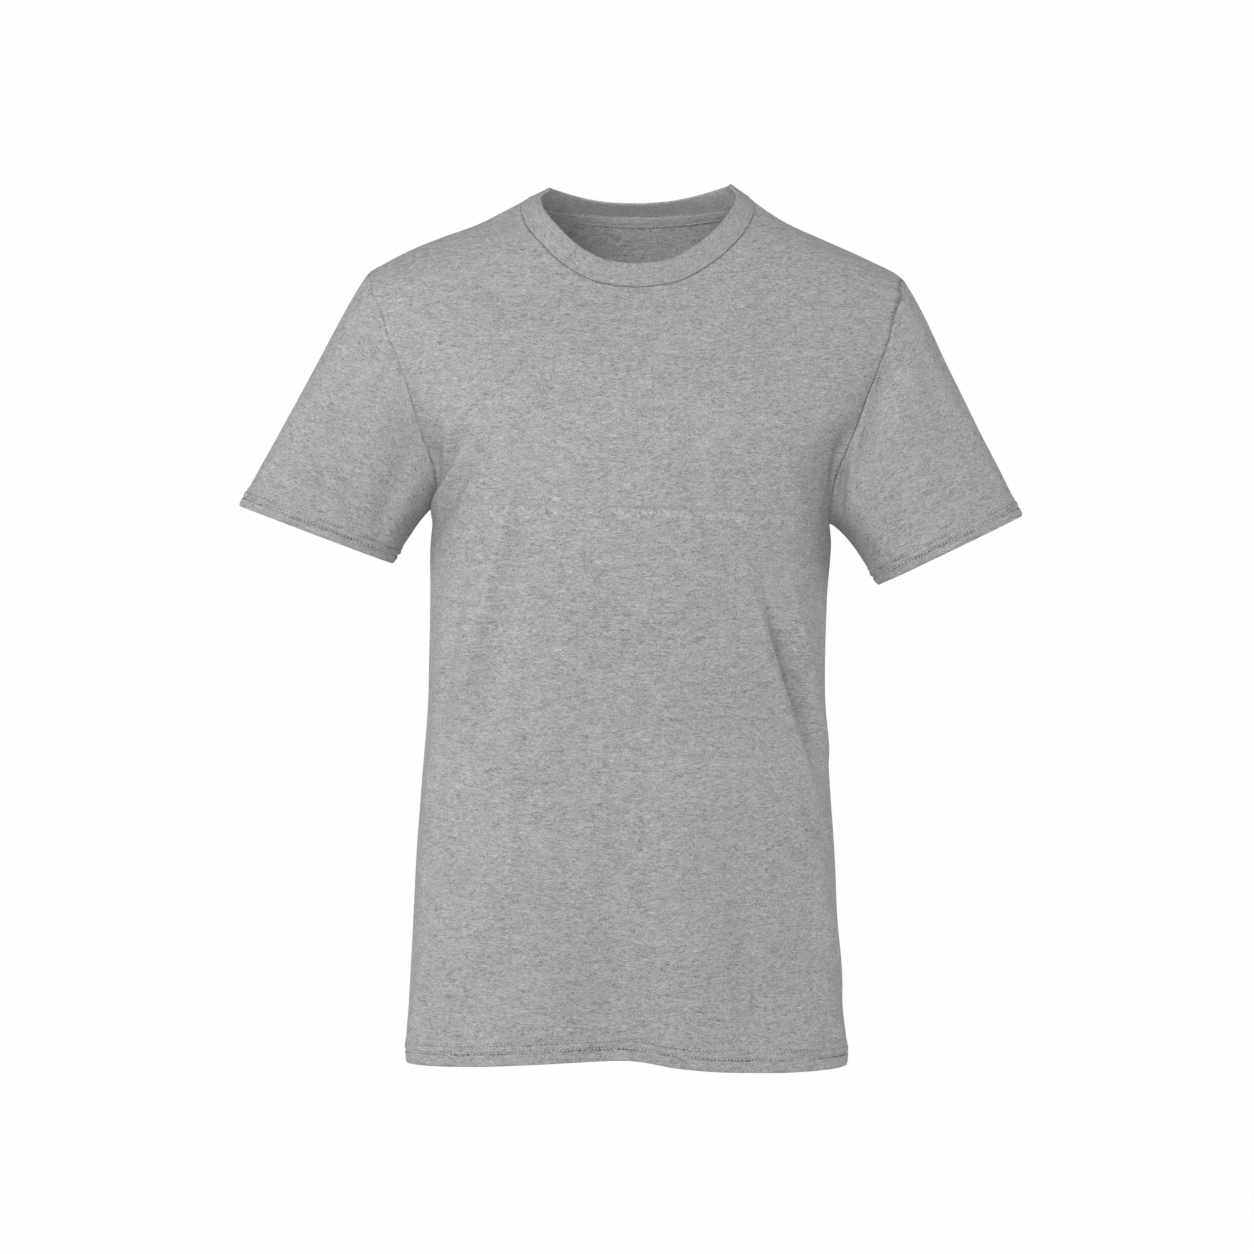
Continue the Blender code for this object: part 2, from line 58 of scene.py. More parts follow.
CLOTH = 0.9
FOLD_OVER = 1.5
BODY_HEM = 18.5
SLEEVE_HEM = 15.0
COLLAR_WIDTH = 19.5
TAPE_CLOTH = 0.8

Side = namedtuple("Side", "height centre right left")
SHOULDERS = (
    Side(-68, 2.0, -221.0, 218.5),
    Side(-64, 2.0, -216.5, 213.5),
    Side(-55, 2.5, -202.0, 195.5),
    Side(-44, 3.0, -180.5, 172.0),
    Side(-33, 3.0, -152.5, 147.0),
    Side(-24, 3.0, -127.0, 127.0),
    Side(-15, 3.2, -109.0, 112.0),
    Side(-2, 4.0, -84.5, 94.0),
)
SIDES = (
    Side(-720, -5.5, -185.0, 173.5),
    Side(-670, -6.0, -183.3, 170.1),
    Side(-605, -7.0, -180.0, 165.4),
    Side(-540, -6.5, -176.8, 163.0),
    Side(-475, -6.5, -172.0, 158.8),
    Side(-400, -6.0, -166.7, 155.0),
    Side(-330, -3.5, -165.3, 156.5),
    Side(-285, -2.0, -165.3, 160.0),
    Side(-266, -1.0, -163.5, 158.7),
    Side(-250, -1.0, -159.7, 157.0),
)

Depth = namedtuple("Depth", "height front back front_round back_round")
DEPTHS = (
    Depth(-720, 106, 103, 2.30, 2.30),
    Depth(-600, 108, 100, 2.30, 2.30),
    Depth(-500, 111, 97, 2.30, 2.30),
    Depth(-400, 116, 97, 2.30, 2.30),
    Depth(-320, 122, 102, 2.30, 2.30),
    Depth(-250, 124, 109, 2.30, 2.30),
    Depth(-200, 121, 112, 2.25, 2.25),
    Depth(-160, 113, 111, 2.20, 2.20),
    Depth(-120, 97, 106, 2.10, 2.15),
    Depth(-80, 76, 97, 1.95, 2.05),
    Depth(-60, 68, 91, 1.80, 1.95),
    Depth(-43, 62, 85, 1.65, 1.85),
    Depth(-24, 54, 76, 1.55, 1.80),
    Depth(-10, 49, 68, 1.50, 1.75),
    Depth(0, 46, 62, 1.50, 1.70),
)

Armhole = namedtuple("Armhole", "rise right left")
ARMHOLE = (
    Armhole(0.0, -159.7, 158.7),
    Armhole(0.13, -161.1, 160.5),
    Armhole(0.20, -164.8, 164.5),
    Armhole(0.29, -171.0, 171.5),
    Armhole(0.40, -177.3, 180.0),
    Armhole(0.54, -185.0, 190.3),
    Armhole(0.63, -191.3, 197.5),
    Armhole(0.76, -200.7, 206.7),
    Armhole(0.89, -210.0, 214.5),
    Armhole(1.0, -216.5, 218.5),
)

Neckline = namedtuple("Neckline", "share half_width drop")
FRONT_NECKLINE = (
    Neckline(0.0, 0.0, 77.5),
    Neckline(0.13, 26.5, 74.5),
    Neckline(0.30, 54.5, 61.5),
    Neckline(0.50, 76.5, 42.0),
    Neckline(0.70, 91.0, 22.0),
    Neckline(0.88, 94.8, 8.5),
    Neckline(1.0, 89.0, 0.0),
)
BACK_NECK_DROP = 8.6
BACK_NECK_HALF_WIDTH = 89.0

# How far the collar leans into the neck from the line of its panel, in degrees, from front to back
Lean = namedtuple("Lean", "depth degrees")
COLLAR_LEANS = (
    Lean(-70, -15.0),
    Lean(-55, -22.0),
    Lean(-40, -24.0),
    Lean(-24, -17.0),
    Lean(0, -9.0),
    Lean(16, -10.0),
    Lean(34, -7.0),
    Lean(52, 12.0),
    Lean(66, 31.0),
)
COLLAR_EASE = 13.0

Hem = namedtuple("Hem", "share front back")
HEM_LIFTS = (
    Hem(0.0, 0.0, 0.0),
    Hem(0.25, 2.5, 0.5),
    Hem(0.5, 9.5, -1.0),
    Hem(0.58, 3.0, 0.5),
    Hem(0.67, -1.0, 1.0),
    Hem(0.75, -2.0, 1.5),
    Hem(1.0, -1.5, -1.5),
)

Cuff = namedtuple("Cuff", "side inner_x inner_z outer_x outer_z half_depth forward")
CUFFS = (
    Cuff("right", -195.6, -300.0, -320.5, -252.5, 43.0, 6.0),
    Cuff("left", 198.9, -317.0, 315.6, -260.5, 43.0, 6.0),
)
SLEEVE_CAP_ROLL = 50.0
SLEEVE_END_TURN = 0.05
UNDERARM_SWING = 0.5

# ---------------------------------------------------------------- seams, hems and stitches, in mm

SEAM_DEPTH = 0.32
NECK_SEAM_DEPTH = 0.9
SEAM_LINE = 0.55
# how far a hem's band stands out, and how far its edge rolls in
HEM_STAND = 0.75
HEM_ROLL = 0.45
# the rows of stitches above an edge, or below the neckline for the tape
BODY_STITCH_ROWS = (10.2, 16.9)
SLEEVE_STITCH_ROWS = (7.6, 13.3)
TAPE_STITCH_ROWS = (1.5, 9.2)
TAPE_STITCH_LIFT = 2.0
STITCH_SHADES = (1.0, 0.6)
STITCH_PITCH = 3.1
STITCH_SIZE = (1.15, 0.46, 0.34)
STITCH_LIFT = 0.55
STITCH_REACH = 0.8
# where the side seam is pulled tight, below the arm, and its painted shade is darker and wider
PINCH_HEIGHT = -232.0
PINCH_REACH = 24.0

# How finely the sheets are divided. Their lines lie close together at the seams and hems.
EDGE_STEPS = (0.0, 0.45, 0.9, 1.4, 2.1, 3.0, 4.2, 6.0)
HEM_STEP = 0.66
FINE_ROWS = 22.0
PANEL_WIDTH = 455.0
YOKE_LENGTH = 215.0
PANEL_COLUMNS = 138
SLEEVE_COLUMNS = 168
TAPE_ACROSS = np.linspace(0.02, 0.98, 120)
TAPE_DOWN = np.array([0.2, 0.6, 1.0, 1.6, 2.6, 4.0, 5.5, 7.0, 8.4, 9.3, 9.8, 10.2])
TAPE_PUFF = np.array([1.3, 1.6, 1.5, 1.35, 1.65, 1.85, 1.9, 1.8, 1.5, 1.4, 1.5, 1.1])
CREASE_STEPS = 13
RIPPLE_WAVES = 7
# the steps that normals are measured by, in shares of a panel or a sleeve
PANEL_NUDGE = 0.0008
SLEEVE_NUDGE = 0.004

# Each sheet laid flat: across and up in metres, then the cloth in it in square metres
Cut = namedtuple("Cut", "flat area")

# ---------------------------------------------------------------- creases, in mm
# Each runs from its start by its bend to its end. More than 0 high is a ridge, less is a trough.
Crease = namedtuple("Crease", "x0 z0 x1 z1 x2 z2 width height")
CREASES = {
    "front": (
        # the long pair that falls from the chest to the wearer's left side seam
        Crease(100, -335, 130, -435, 152, -505, 5.0, 4.5),
        Crease(100, -303, 126, -392, 158, -494, 7.5, -12.0),
        Crease(122, -312, 142, -390, 158, -468, 4.5, 5.5),
        Crease(70, -300, 96, -420, 128, -560, 13, -3.0),
        Crease(146, -540, 158, -600, 167, -650, 6, 4.0),
        Crease(136, -560, 148, -620, 158, -680, 9, -3.2),
        Crease(146, -610, 157, -650, 171, -700, 5, 4.0),
        # the soft hollow under the wearer's left arm
        Crease(172, -190, 154, -222, 120, -258, 14, -4.2),
        Crease(171, -194, 166, -230, 163, -268, 5, -7.0),
        Crease(134, -205, 130, -250, 118, -300, 12, 1.6),
        # the wearer's right side
        Crease(-99, -252, -116, -330, -151, -470, 5.5, 6.5),
        Crease(-92, -270, -106, -350, -140, -500, 9.0, -3.5),
        Crease(-120, -250, -128, -350, -154, -455, 5.0, 3.5),
        Crease(-118, -345, -142, -430, -162, -510, 6.5, -2.2),
        Crease(-134, -300, -148, -380, -162, -470, 7, -2.0),
        Crease(-150, -345, -162, -440, -171, -580, 5, 3.4),
        Crease(-166, -610, -172, -655, -181, -694, 5, 4.5),
        Crease(-158, -600, -162, -655, -166, -690, 6, -3.0),
        Crease(-155, -190, -161, -216, -166, -250, 5, -6.0),
        Crease(-139, -192, -148, -214, -154, -238, 4.0, -5.5),
        Crease(-144, -222, -153, -242, -165, -264, 3.6, 6.0),
        Crease(-132, -222, -142, -244, -156, -268, 5, -5.5),
        Crease(-124, -190, -132, -220, -140, -250, 8, 2.0),
        Crease(-112, -545, -118, -590, -128, -640, 14, 3.2),
        # the lower front, where the hem swings out and back
        Crease(-18, -545, -16, -640, -18, -725, 17, -6.0),
        Crease(36, -470, 46, -610, 56, -725, 22, 6.0),
        Crease(84, -500, 92, -620, 96, -725, 19, -9.0),
        Crease(128, -560, 126, -620, 126, -700, 15, -3.4),
        Crease(-66, -590, -70, -650, -74, -725, 20, 4.5),
        Crease(-126, -600, -132, -660, -136, -725, 14, -3.0),
        # below the shoulders
        Crease(-118, -62, -110, -84, -84, -104, 22, -3.0),
        Crease(112, -60, 120, -80, 104, -104, 22, -3.2),
        Crease(8, -82, 6, -95, 4, -116, 14, 1.6),
        # across the chest, where the shirt hangs from the shoulders
        Crease(-96, -120, -104, -170, -92, -230, 24, 2.4),
        Crease(88, -120, 98, -170, 88, -235, 24, 2.6),
    ),
    "back": (
        Crease(-150, -215, -128, -250, -104, -330, 12, 5.5),
        Crease(-158, -240, -142, -290, -128, -380, 9, -5.0),
        Crease(150, -220, 130, -262, 112, -350, 12, 5.8),
        Crease(158, -250, 146, -300, 134, -390, 9, -5.0),
        Crease(-96, -300, -112, -460, -128, -650, 16, 6.5),
        Crease(92, -320, 110, -480, 120, -620, 16, 7.0),
        Crease(-60, -380, -66, -520, -62, -725, 20, -5.0),
        Crease(52, -340, 46, -520, 58, -725, 22, -5.5),
        Crease(0, -330, 6, -470, -4, -690, 26, 4.0),
        Crease(-138, -420, -146, -520, -158, -640, 8, -4.6),
        Crease(132, -430, 140, -540, 150, -650, 9, -5.0),
        Crease(-86, -84, 0, -104, 86, -84, 16, -2.4),
        Crease(-60, -120, 0, -136, 60, -122, 18, 1.8),
    ),
    "sleeve_right": (
        Crease(-243, -200, -246, -232, -238, -268, 7, 4.2),
        Crease(-256, -214, -258, -236, -250, -262, 5, -3.0),
        Crease(-270, -210, -275, -236, -272, -256, 7, 2.6),
        Crease(-164, -256, -180, -276, -198, -304, 10, -2.5),
        Crease(-176, -200, -194, -240, -212, -288, 9, -3.0),
        Crease(-226, -120, -236, -160, -240, -200, 14, -2.6),
        Crease(-196, -150, -206, -190, -214, -230, 12, 2.4),
    ),
    "sleeve_left": (
        Crease(190, -200, 198, -230, 216, -276, 7.5, 2.6),
        Crease(172, -196, 167, -228, 167, -262, 3.8, -5.5),
        Crease(186, -176, 176, -208, 174, -240, 5, 2.5),
        Crease(160, -262, 182, -286, 204, -320, 12, -4.0),
        Crease(214, -125, 198, -170, 182, -232, 9, -3.0),
        Crease(232, -120, 222, -165, 206, -215, 10, 3.0),
        Crease(236, -120, 244, -160, 264, -214, 12, -2.8),
        Crease(252, -196, 264, -222, 272, -256, 8, 3.4),
        Crease(222, -200, 228, -222, 240, -256, 8, 2.6),
    ),
}

# ---------------------------------------------------------------- curves and surfaces


def smooth_through(keys, values):
    """A smooth curve through the points that never overshoots them (keys go up)."""
    keys = np.array(keys, float)
    values = np.array(values, float)
    gaps = np.diff(keys)
    slopes = np.diff(values) / gaps
    before, after = slopes[:-1], slopes[1:]
    level = before * after <= 0
    before = np.where(level, 1.0, before)
    after = np.where(level, 1.0, after)
    w1 = 2 * gaps[1:] + gaps[:-1]
    w2 = gaps[1:] + 2 * gaps[:-1]
    inner = np.where(level, 0.0, (w1 + w2) / (w1 / before + w2 / after))
    tangents = np.concatenate([slopes[:1], inner, slopes[-1:]])

    def at(key):
        key = np.clip(key, keys[0], keys[-1])
        i = np.clip(np.searchsorted(keys, key, side="right") - 1, 0, len(gaps) - 1)
        t = (key - keys[i]) / gaps[i]
        rise = values[i + 1] - values[i]
        bend = gaps[i] * (tangents[i] * t * (1 - t) ** 2 - tangents[i + 1] * t * t * (1 - t))
        return values[i] + rise * t * t * (3 - 2 * t) + bend

    return at


def column(rows, name):
    return [getattr(row, name) for row in rows]


def lerp(a, b, t):
    return a + (b - a) * t


def smoothstep(t):
    t = np.clip(t, 0.0, 1.0)
    return t * t * (3 - 2 * t)


def unit(vectors):
    return vectors / np.maximum(np.linalg.norm(vectors, axis=-1, keepdims=True), 1e-12)


SIDE_NAMES = ("right", "left")
BULGE = {"front": ARMHOLE_FRONT, "back": ARMHOLE_BACK}
FACING = {"front": -1.0, "back": 1.0}

depth_at = {
    name: smooth_through(column(DEPTHS, "height"), column(DEPTHS, name))
    for name in ("front", "back", "front_round", "back_round")
}
centre_at = smooth_through(column(SIDES + SHOULDERS, "height"), column(SIDES + SHOULDERS, "centre"))
lean_at = smooth_through(column(COLLAR_LEANS, "depth"), column(COLLAR_LEANS, "degrees"))
hem_lift_at = {name: smooth_through(column(HEM_LIFTS, "share"), column(HEM_LIFTS, name)) for name in FACING}


def mirrored(rows, name, sign):
    """A table given for half of the neckline, laid out from shoulder to shoulder."""
    half = column(rows, name)
    return [sign * value for value in reversed(half[1:])] + half


neck_shares = mirrored(FRONT_NECKLINE, "share", -1)
front_neck_x = smooth_through(neck_shares, mirrored(FRONT_NECKLINE, "half_width", -1))
front_neck_drop = smooth_through(neck_shares, mirrored(FRONT_NECKLINE, "drop", 1))


def armhole_height(side, rise):
    return lerp(UNDERARM[SIDE_NAMES.index(side)], NECK_POINT, TIP_SHARE * rise)


def armhole_depth_share(face, side, rise):
    bulge = BULGE[face] * 2 * np.sqrt(np.clip(rise * (1 - rise), 0, None))
    return bulge / depth_at[face](armhole_height(side, rise))


def reach_curve(face, side):
    """Half width of the torso form by height, on one side of one face."""
    underarm = UNDERARM[SIDE_NAMES.index(side)]
    tip = armhole_height(side, 1.0)
    points = [(row.height, abs(getattr(row, side) - row.centre)) for row in SIDES if row.height < underarm]
    for row in ARMHOLE:
        height = armhole_height(side, row.rise)
        power = depth_at[face + "_round"](height)
        wide = (1 - armhole_depth_share(face, side, row.rise) ** power) ** (1 / power)
        points.append((height, abs(getattr(row, side) - centre_at(height)) / wide))
    points += [(row.height, abs(getattr(row, side) - row.centre)) for row in SHOULDERS if row.height > tip]
    return smooth_through([point[0] for point in points], [point[1] for point in points])


reach_at = {(face, side): reach_curve(face, side) for face in FACING for side in SIDE_NAMES}


def soft_curve(curve):
    """A curve averaged over a stretch of heights, for cloth that is away from the seams."""
    heights = np.linspace(-760, 60, 821)
    steps = np.linspace(-ROUNDING, ROUNDING, 9)
    weights = 1 + np.cos(math.pi * steps / ROUNDING)
    values = sum(weight * curve(heights + step) for weight, step in zip(weights, steps)) / weights.sum()
    return lambda height: np.interp(height, heights, values)


soft_reach_at = {key: soft_curve(curve) for key, curve in reach_at.items()}


def on_form(face, angle, height, seam_share):
    """Points of the torso form at angles from its middle line, in mm."""
    power = depth_at[face + "_round"](height)
    sine, cosine = np.sin(angle), np.cos(angle)
    spread = (np.abs(sine) ** power + np.abs(cosine) ** power) ** (1 / power)
    reach = {
        side: lerp(soft_reach_at[face, side](height), reach_at[face, side](height), seam_share)
        for side in SIDE_NAMES
    }
    x = centre_at(height) + np.where(angle < 0, reach["right"], reach["left"]) * sine / spread
    y = FACING[face] * depth_at[face](height) * cosine / spread
    return np.stack([x, y, height], axis=-1)


def neckline(face, share):
    """Angle and height of the neckline seam, share -1 to 1 from shoulder to shoulder."""
    if face == "front":
        wide = np.abs(front_neck_x(share))
        height = NECK_POINT - front_neck_drop(share)
    else:
        wide = BACK_NECK_HALF_WIDTH * np.abs(np.sin(share * math.pi / 2))
        height = NECK_POINT - BACK_NECK_DROP * np.cos(share * math.pi / 2)
    reach = np.where(share < 0, reach_at[face, "right"](height), reach_at[face, "left"](height))
    wide = np.where(np.abs(share) > 1 - 1e-9, 1.0, np.minimum(wide / reach, 1.0))
    power = depth_at[face + "_round"](height)
    angle = np.arctan2(wide, (1 - wide ** power) ** (1 / power))
    return np.copysign(angle, share), height


def edge_angle(face, side, level, calm=False):
    """Angle of a panel's side edge: side seam, then armhole, then shoulder seam.

    Away from the edge it is calm, without the sudden turns at the underarm and the tip.
    """
    rise = np.clip((level - 1) / TIP_SHARE, 0, 1)
    deep = armhole_depth_share(face, side, rise)
    if calm:
        deep = deep * (4 * rise * (1 - rise)) ** 1.5
    power = depth_at[face + "_round"](armhole_height(side, rise))
    return np.arctan2((1 - deep ** power) ** (1 / power), deep)


def tip_lift(rise, from_edge):
    """The rows that leave the shoulder tip climb along the shoulder before they cross the chest."""
    near_tip = np.maximum(0.0, 1 - ((rise - TIP_SHARE) / (1 - TIP_SHARE)) ** 2) ** 2
    inwards = from_edge / TIP_LIFT_REACH * np.exp(1 - from_edge / TIP_LIFT_REACH)
    return TIP_LIFT * near_tip * inwards


def panel_points(face, across, level):
    """Points of a panel. Level 0 is the hem edge, 1 the underarm and 2 the neckline."""
    across, level = np.broadcast_arrays(across, level)
    share = 2 * across - 1
    underarm = lerp(UNDERARM[0], UNDERARM[1], across)
    neck_angle, neck_height = neckline(face, share)
    rise = np.clip(level - 1, 0, None)
    below = lerp(HEM_EDGE + hem_lift_at[face](across), underarm, level)
    above = lerp(underarm, neck_height, rise) + tip_lift(rise, 1 - np.abs(share))
    height = np.where(level <= 1, below, above)
    right = -edge_angle(face, "right", level, calm=True)
    left = edge_angle(face, "left", level, calm=True)
    gather = smoothstep(rise)
    stretch = lerp(share, neck_angle / (math.pi / 2), gather)
    angle = lerp(right, left, (stretch + 1) / 2)
    angle = angle + (-edge_angle(face, "right", level) - right) * smoothstep(1 - across / EDGE_REACH)
    angle = angle + (edge_angle(face, "left", level) - left) * smoothstep(1 - (1 - across) / EDGE_REACH)
    return on_form(face, angle, height, np.maximum(np.abs(share), gather) ** 6)


def bent_line(start, bend, end, steps):
    """Places along a line that leaves its start towards its bend and turns to its end."""
    return (1 - steps) ** 2 * start + 2 * steps * (1 - steps) * bend + steps ** 2 * end


def crease_heights(where, points):
    """How far the creases of a piece move its points outwards."""
    x, z = points[..., 0], points[..., 2]
    total = np.zeros(x.shape)
    steps = np.linspace(0, 1, CREASE_STEPS)
    for crease in CREASES[where]:
        line_x = bent_line(crease.x0, crease.x1, crease.x2, steps)
        line_z = bent_line(crease.z0, crease.z1, crease.z2, steps)
        nearest = np.full(x.shape, np.inf)
        along = np.zeros(x.shape)
        for i in range(len(steps) - 1):
            run_x, run_z = line_x[i + 1] - line_x[i], line_z[i + 1] - line_z[i]
            part = ((x - line_x[i]) * run_x + (z - line_z[i]) * run_z) / (run_x ** 2 + run_z ** 2)
            part = np.clip(part, 0, 1)
            away = (x - line_x[i] - part * run_x) ** 2 + (z - line_z[i] - part * run_z) ** 2
            closer = away < nearest
            nearest = np.where(closer, away, nearest)
            along = np.where(closer, lerp(steps[i], steps[i + 1], part), along)
        fade = np.sin(math.pi * (0.04 + 0.92 * along)) ** 0.8
        total += crease.height * fade * np.exp(-nearest / crease.width ** 2)
    return total


def ripple(points, scale, seed):
    """Slow uneven waves in the cloth, between -1 and 1."""
    rng = np.random.default_rng(seed)
    total = np.zeros(points.shape[:-1])
    for _ in range(RIPPLE_WAVES):
        heading = rng.normal(size=3) * (1.0, 1.0, 0.6)
        pace = 2 * math.pi / (scale * rng.uniform(0.6, 1.6))
        wave = points @ (heading / np.linalg.norm(heading)) * pace
        total += np.sin(wave + rng.uniform(0, 2 * math.pi))
    return total / RIPPLE_WAVES


def rounded_lines(points, from_ends, from_sides, reach):
    """Ease sudden turns along a sheet's columns over a stretch of cloth, away from its edges."""
    run = running_length(points, axis=0)
    share = np.gradient(run, axis=0)
    eased = np.empty_like(points)
    for c in range(points.shape[1]):
        weights = np.exp(-0.5 * ((run[:, None, c] - run[None, :, c]) / reach) ** 2) * share[None, :, c]
        eased[:, c] = weights @ points[:, c] / weights.sum(axis=1, keepdims=True)
    amount = smoothstep(from_ends / (3 * reach)) * smoothstep(from_sides / 14.0)
    return lerp(points, eased, amount[..., None])


def grid_normals(points, outward):
    """Unit normals of a grid of points."""
    return unit(np.cross(np.gradient(points, axis=1), np.gradient(points, axis=0))) * outward


def seam_dip(distance, deep=SEAM_DEPTH):
    """The cloth rolls down into a seam, and swells a little beside it."""
    return -deep * np.exp(-((distance / 0.7) ** 2)) + 0.4 * deep * np.exp(-(((distance - 2.4) / 1.5) ** 2))


def seam_shade(distance, half_width=SEAM_LINE):
    """How much painted shade darkens a seam's line, 1 in the seam."""
    return np.exp(-((distance / half_width) ** 2))


def hem_swell(above_edge, width):
    """A hem is two layers thick, so its band stands out from the cloth above it."""
    stand = HEM_STAND * smoothstep((width + 0.8 - above_edge) / 1.6)
    return stand - HEM_ROLL * smoothstep(1 - above_edge / 2.2)


def stitch_dip(distance, along, row, seed):
    """A row of stitches pulls the cloth in, a little unevenly."""
    rng = np.random.default_rng(seed)
    phase = rng.uniform(0, 6)
    uneven = 1 + 0.35 * np.sin(along / 11.0 + phase) + 0.25 * np.sin(along / 4.7 + 2 * phase)
    ridges = 0.35 * uneven * np.exp(-(((np.abs(distance - row) - 2.2) / 1.2) ** 2))
    return ridges - 0.75 * uneven * np.exp(-(((distance - row) / 1.0) ** 2))


def stitch_shade(distance, along, row, seed):
    """The cloth is in shade under a row of stitches, more where they are pulled tight."""
    rng = np.random.default_rng(seed + 500)
    phase = rng.uniform(0, 6, 3)
    uneven = 0.80 + 0.30 * np.sin(along / 17.0 + phase[0]) + 0.22 * np.sin(along / 5.3 + phase[1])
    return np.clip(uneven, 0.3, 1.2) * np.exp(-(((distance - row + 0.5) / 1.0) ** 2))


def stitched_hem(above_edge, along, width, rows, seed):
    """What a stitched hem does to its sheet: how far the cloth stands out, and how shaded it is."""
    move = hem_swell(above_edge, width)
    shade = np.zeros(move.shape)
    for i, row in enumerate(rows):
        move = move + stitch_dip(above_edge, along, row, seed + i)
        shade = shade + STITCH_SHADES[i] * stitch_shade(above_edge, along, row, seed + i)
    return move, shade


# ---------------------------------------------------------------- modelling helpers


def add_grid(name, columns, rows):
    """A flat grid primitive with columns x rows points, which is then laid on its form."""
    bpy.ops.object.select_all(action="DESELECT")
    bpy.ops.mesh.primitive_grid_add(x_subdivisions=columns - 1, y_subdivisions=rows - 1, size=1.0)
    piece = bpy.context.object
    piece.name = name
    piece.data.name = name
    return piece


def lay_grid(piece, points):
    """Move a grid's points, given row by row in mm, onto their form."""
    flat = (points.reshape(-1, 3) * MM).astype(np.float32)
    piece.data.vertices.foreach_set("co", flat.ravel())
    piece.data.update()


def set_uv(piece, uv):
    """Give each corner the cloth's own coordinates of its point, in metres."""
    mesh = piece.data
    layer = mesh.uv_layers.get("cloth") or mesh.uv_layers.new(name="cloth")
    index = np.empty(len(mesh.loops), np.int32)
    mesh.loops.foreach_get("vertex_index", index)
    layer.data.foreach_set("uv", (uv.reshape(-1, 2)[index] * MM).astype(np.float32).ravel())
    for other in [item for item in mesh.uv_layers if item.name != "cloth"]:
        mesh.uv_layers.remove(other)
    mesh.uv_layers.active = mesh.uv_layers["cloth"]


def set_painted_shade(piece, values):
    """Store each point's painted shade, in the seams and under the stitch rows, for the finish to darken by."""
    mesh = piece.data
    layer = mesh.attributes.new(name="seam", type="FLOAT", domain="POINT")
    layer.data.foreach_set("value", values.astype(np.float32).ravel())


def select_only(piece):
    bpy.ops.object.select_all(action="DESELECT")
    piece.select_set(True)
    bpy.context.view_layer.objects.active = piece


def edit_whole(piece, tool, **settings):
    """Use one edit mode tool on the whole of a piece."""
    select_only(piece)
    bpy.ops.object.mode_set(mode="EDIT")
    bpy.ops.mesh.select_all(action="SELECT")
    tool(**settings)
    bpy.ops.object.mode_set(mode="OBJECT")


def merge_edges(piece):
    """Sew a rolled grid's meeting edges into one."""
    edit_whole(piece, bpy.ops.mesh.remove_doubles, threshold=0.000002)


def point_outwards(piece, outwards):
    """Turn the whole piece if its middle face looks against its outward direction."""
    mesh = piece.data
    middle = mesh.polygons[len(mesh.polygons) // 2]
    if middle.normal.dot(Vector(outwards)) < 0:
        edit_whole(piece, bpy.ops.mesh.flip_normals)


def thicken(piece, wall):
    """Give a sheet its wall, half to each side."""
    select_only(piece)
    solid = piece.modifiers.new("wall", "SOLIDIFY")
    solid.thickness = wall * MM
    solid.offset = 0.0
    solid.use_rim = True
    bpy.ops.object.modifier_apply(modifier=solid.name)
    bpy.ops.object.shade_smooth()


def surface_normals(points_at, across, level, step, outward):
    """Unit normals of a surface given as a function, by small steps along it."""
    right = points_at(across + step, level) - points_at(across - step, level)
    up = points_at(across, level + step) - points_at(across, level - step)
    return unit(np.cross(right, up)) * outward


def running_length(points, axis):
    """Length along a grid's lines from their first point."""
    gaps = np.linalg.norm(np.diff(points, axis=axis), axis=-1)
    total = np.cumsum(gaps, axis=axis)
    start = np.zeros_like(np.take(total, [0], axis=axis))
    return np.concatenate([start, total], axis=axis)


def panel_columns(count):
    """Shares across a panel, close together at its two edges."""
    edge = [step / PANEL_WIDTH for step in EDGE_STEPS]
    middle = list(np.linspace(edge[-1], 1 - edge[-1], count)[1:-1])
    return np.array(edge + middle + [1 - share for share in reversed(edge)])


def turned_hem(width):
    """Rows of a folded hem: how high each lies above the edge, and how far inside."""
    inner = [(height, FOLD_OVER) for height in np.linspace(width, FOLD_OVER / 2, 10)]
    fold = []
    for turn in (45, 90, 135):
        height = FOLD_OVER / 2 * (1 - math.sin(math.radians(turn)))
        fold.append((height, FOLD_OVER / 2 * (1 + math.cos(math.radians(turn)))))
    return inner + fold


# ---------------------------------------------------------------- the panels


def panel_rows():
    """Levels of a panel's rows, and how far inside it each lies: up inside the hem, then up the outside."""
    length = UNDERARM[0] - HEM_EDGE
    turned = turned_hem(BODY_HEM)
    levels = [height / length for height, _ in turned]
    insets = [inset for _, inset in turned]
    outer = list(np.arange(FOLD_OVER / 2, FINE_ROWS, HEM_STEP) / length)
    outer += list(np.linspace(FINE_ROWS / length, 1.0, 112))
    even = np.linspace(0, 1, 61)[1:]
    rises = 0.15 * even + 0.85 * (1 - np.cos(math.pi * even)) / 2
    outer += list(1 + TIP_SHARE * rises)
    end = 1.0 - EDGE_STEPS[-1] / YOKE_LENGTH
    outer += list(1 + np.linspace(TIP_SHARE, end, 26)[1:])
    outer += [2 - step / YOKE_LENGTH for step in reversed(EDGE_STEPS[:-1])]
    return np.array(levels + outer), np.array(insets + [0.0] * len(outer))


Panel = namedtuple("Panel", "piece base normals stitch_lines")


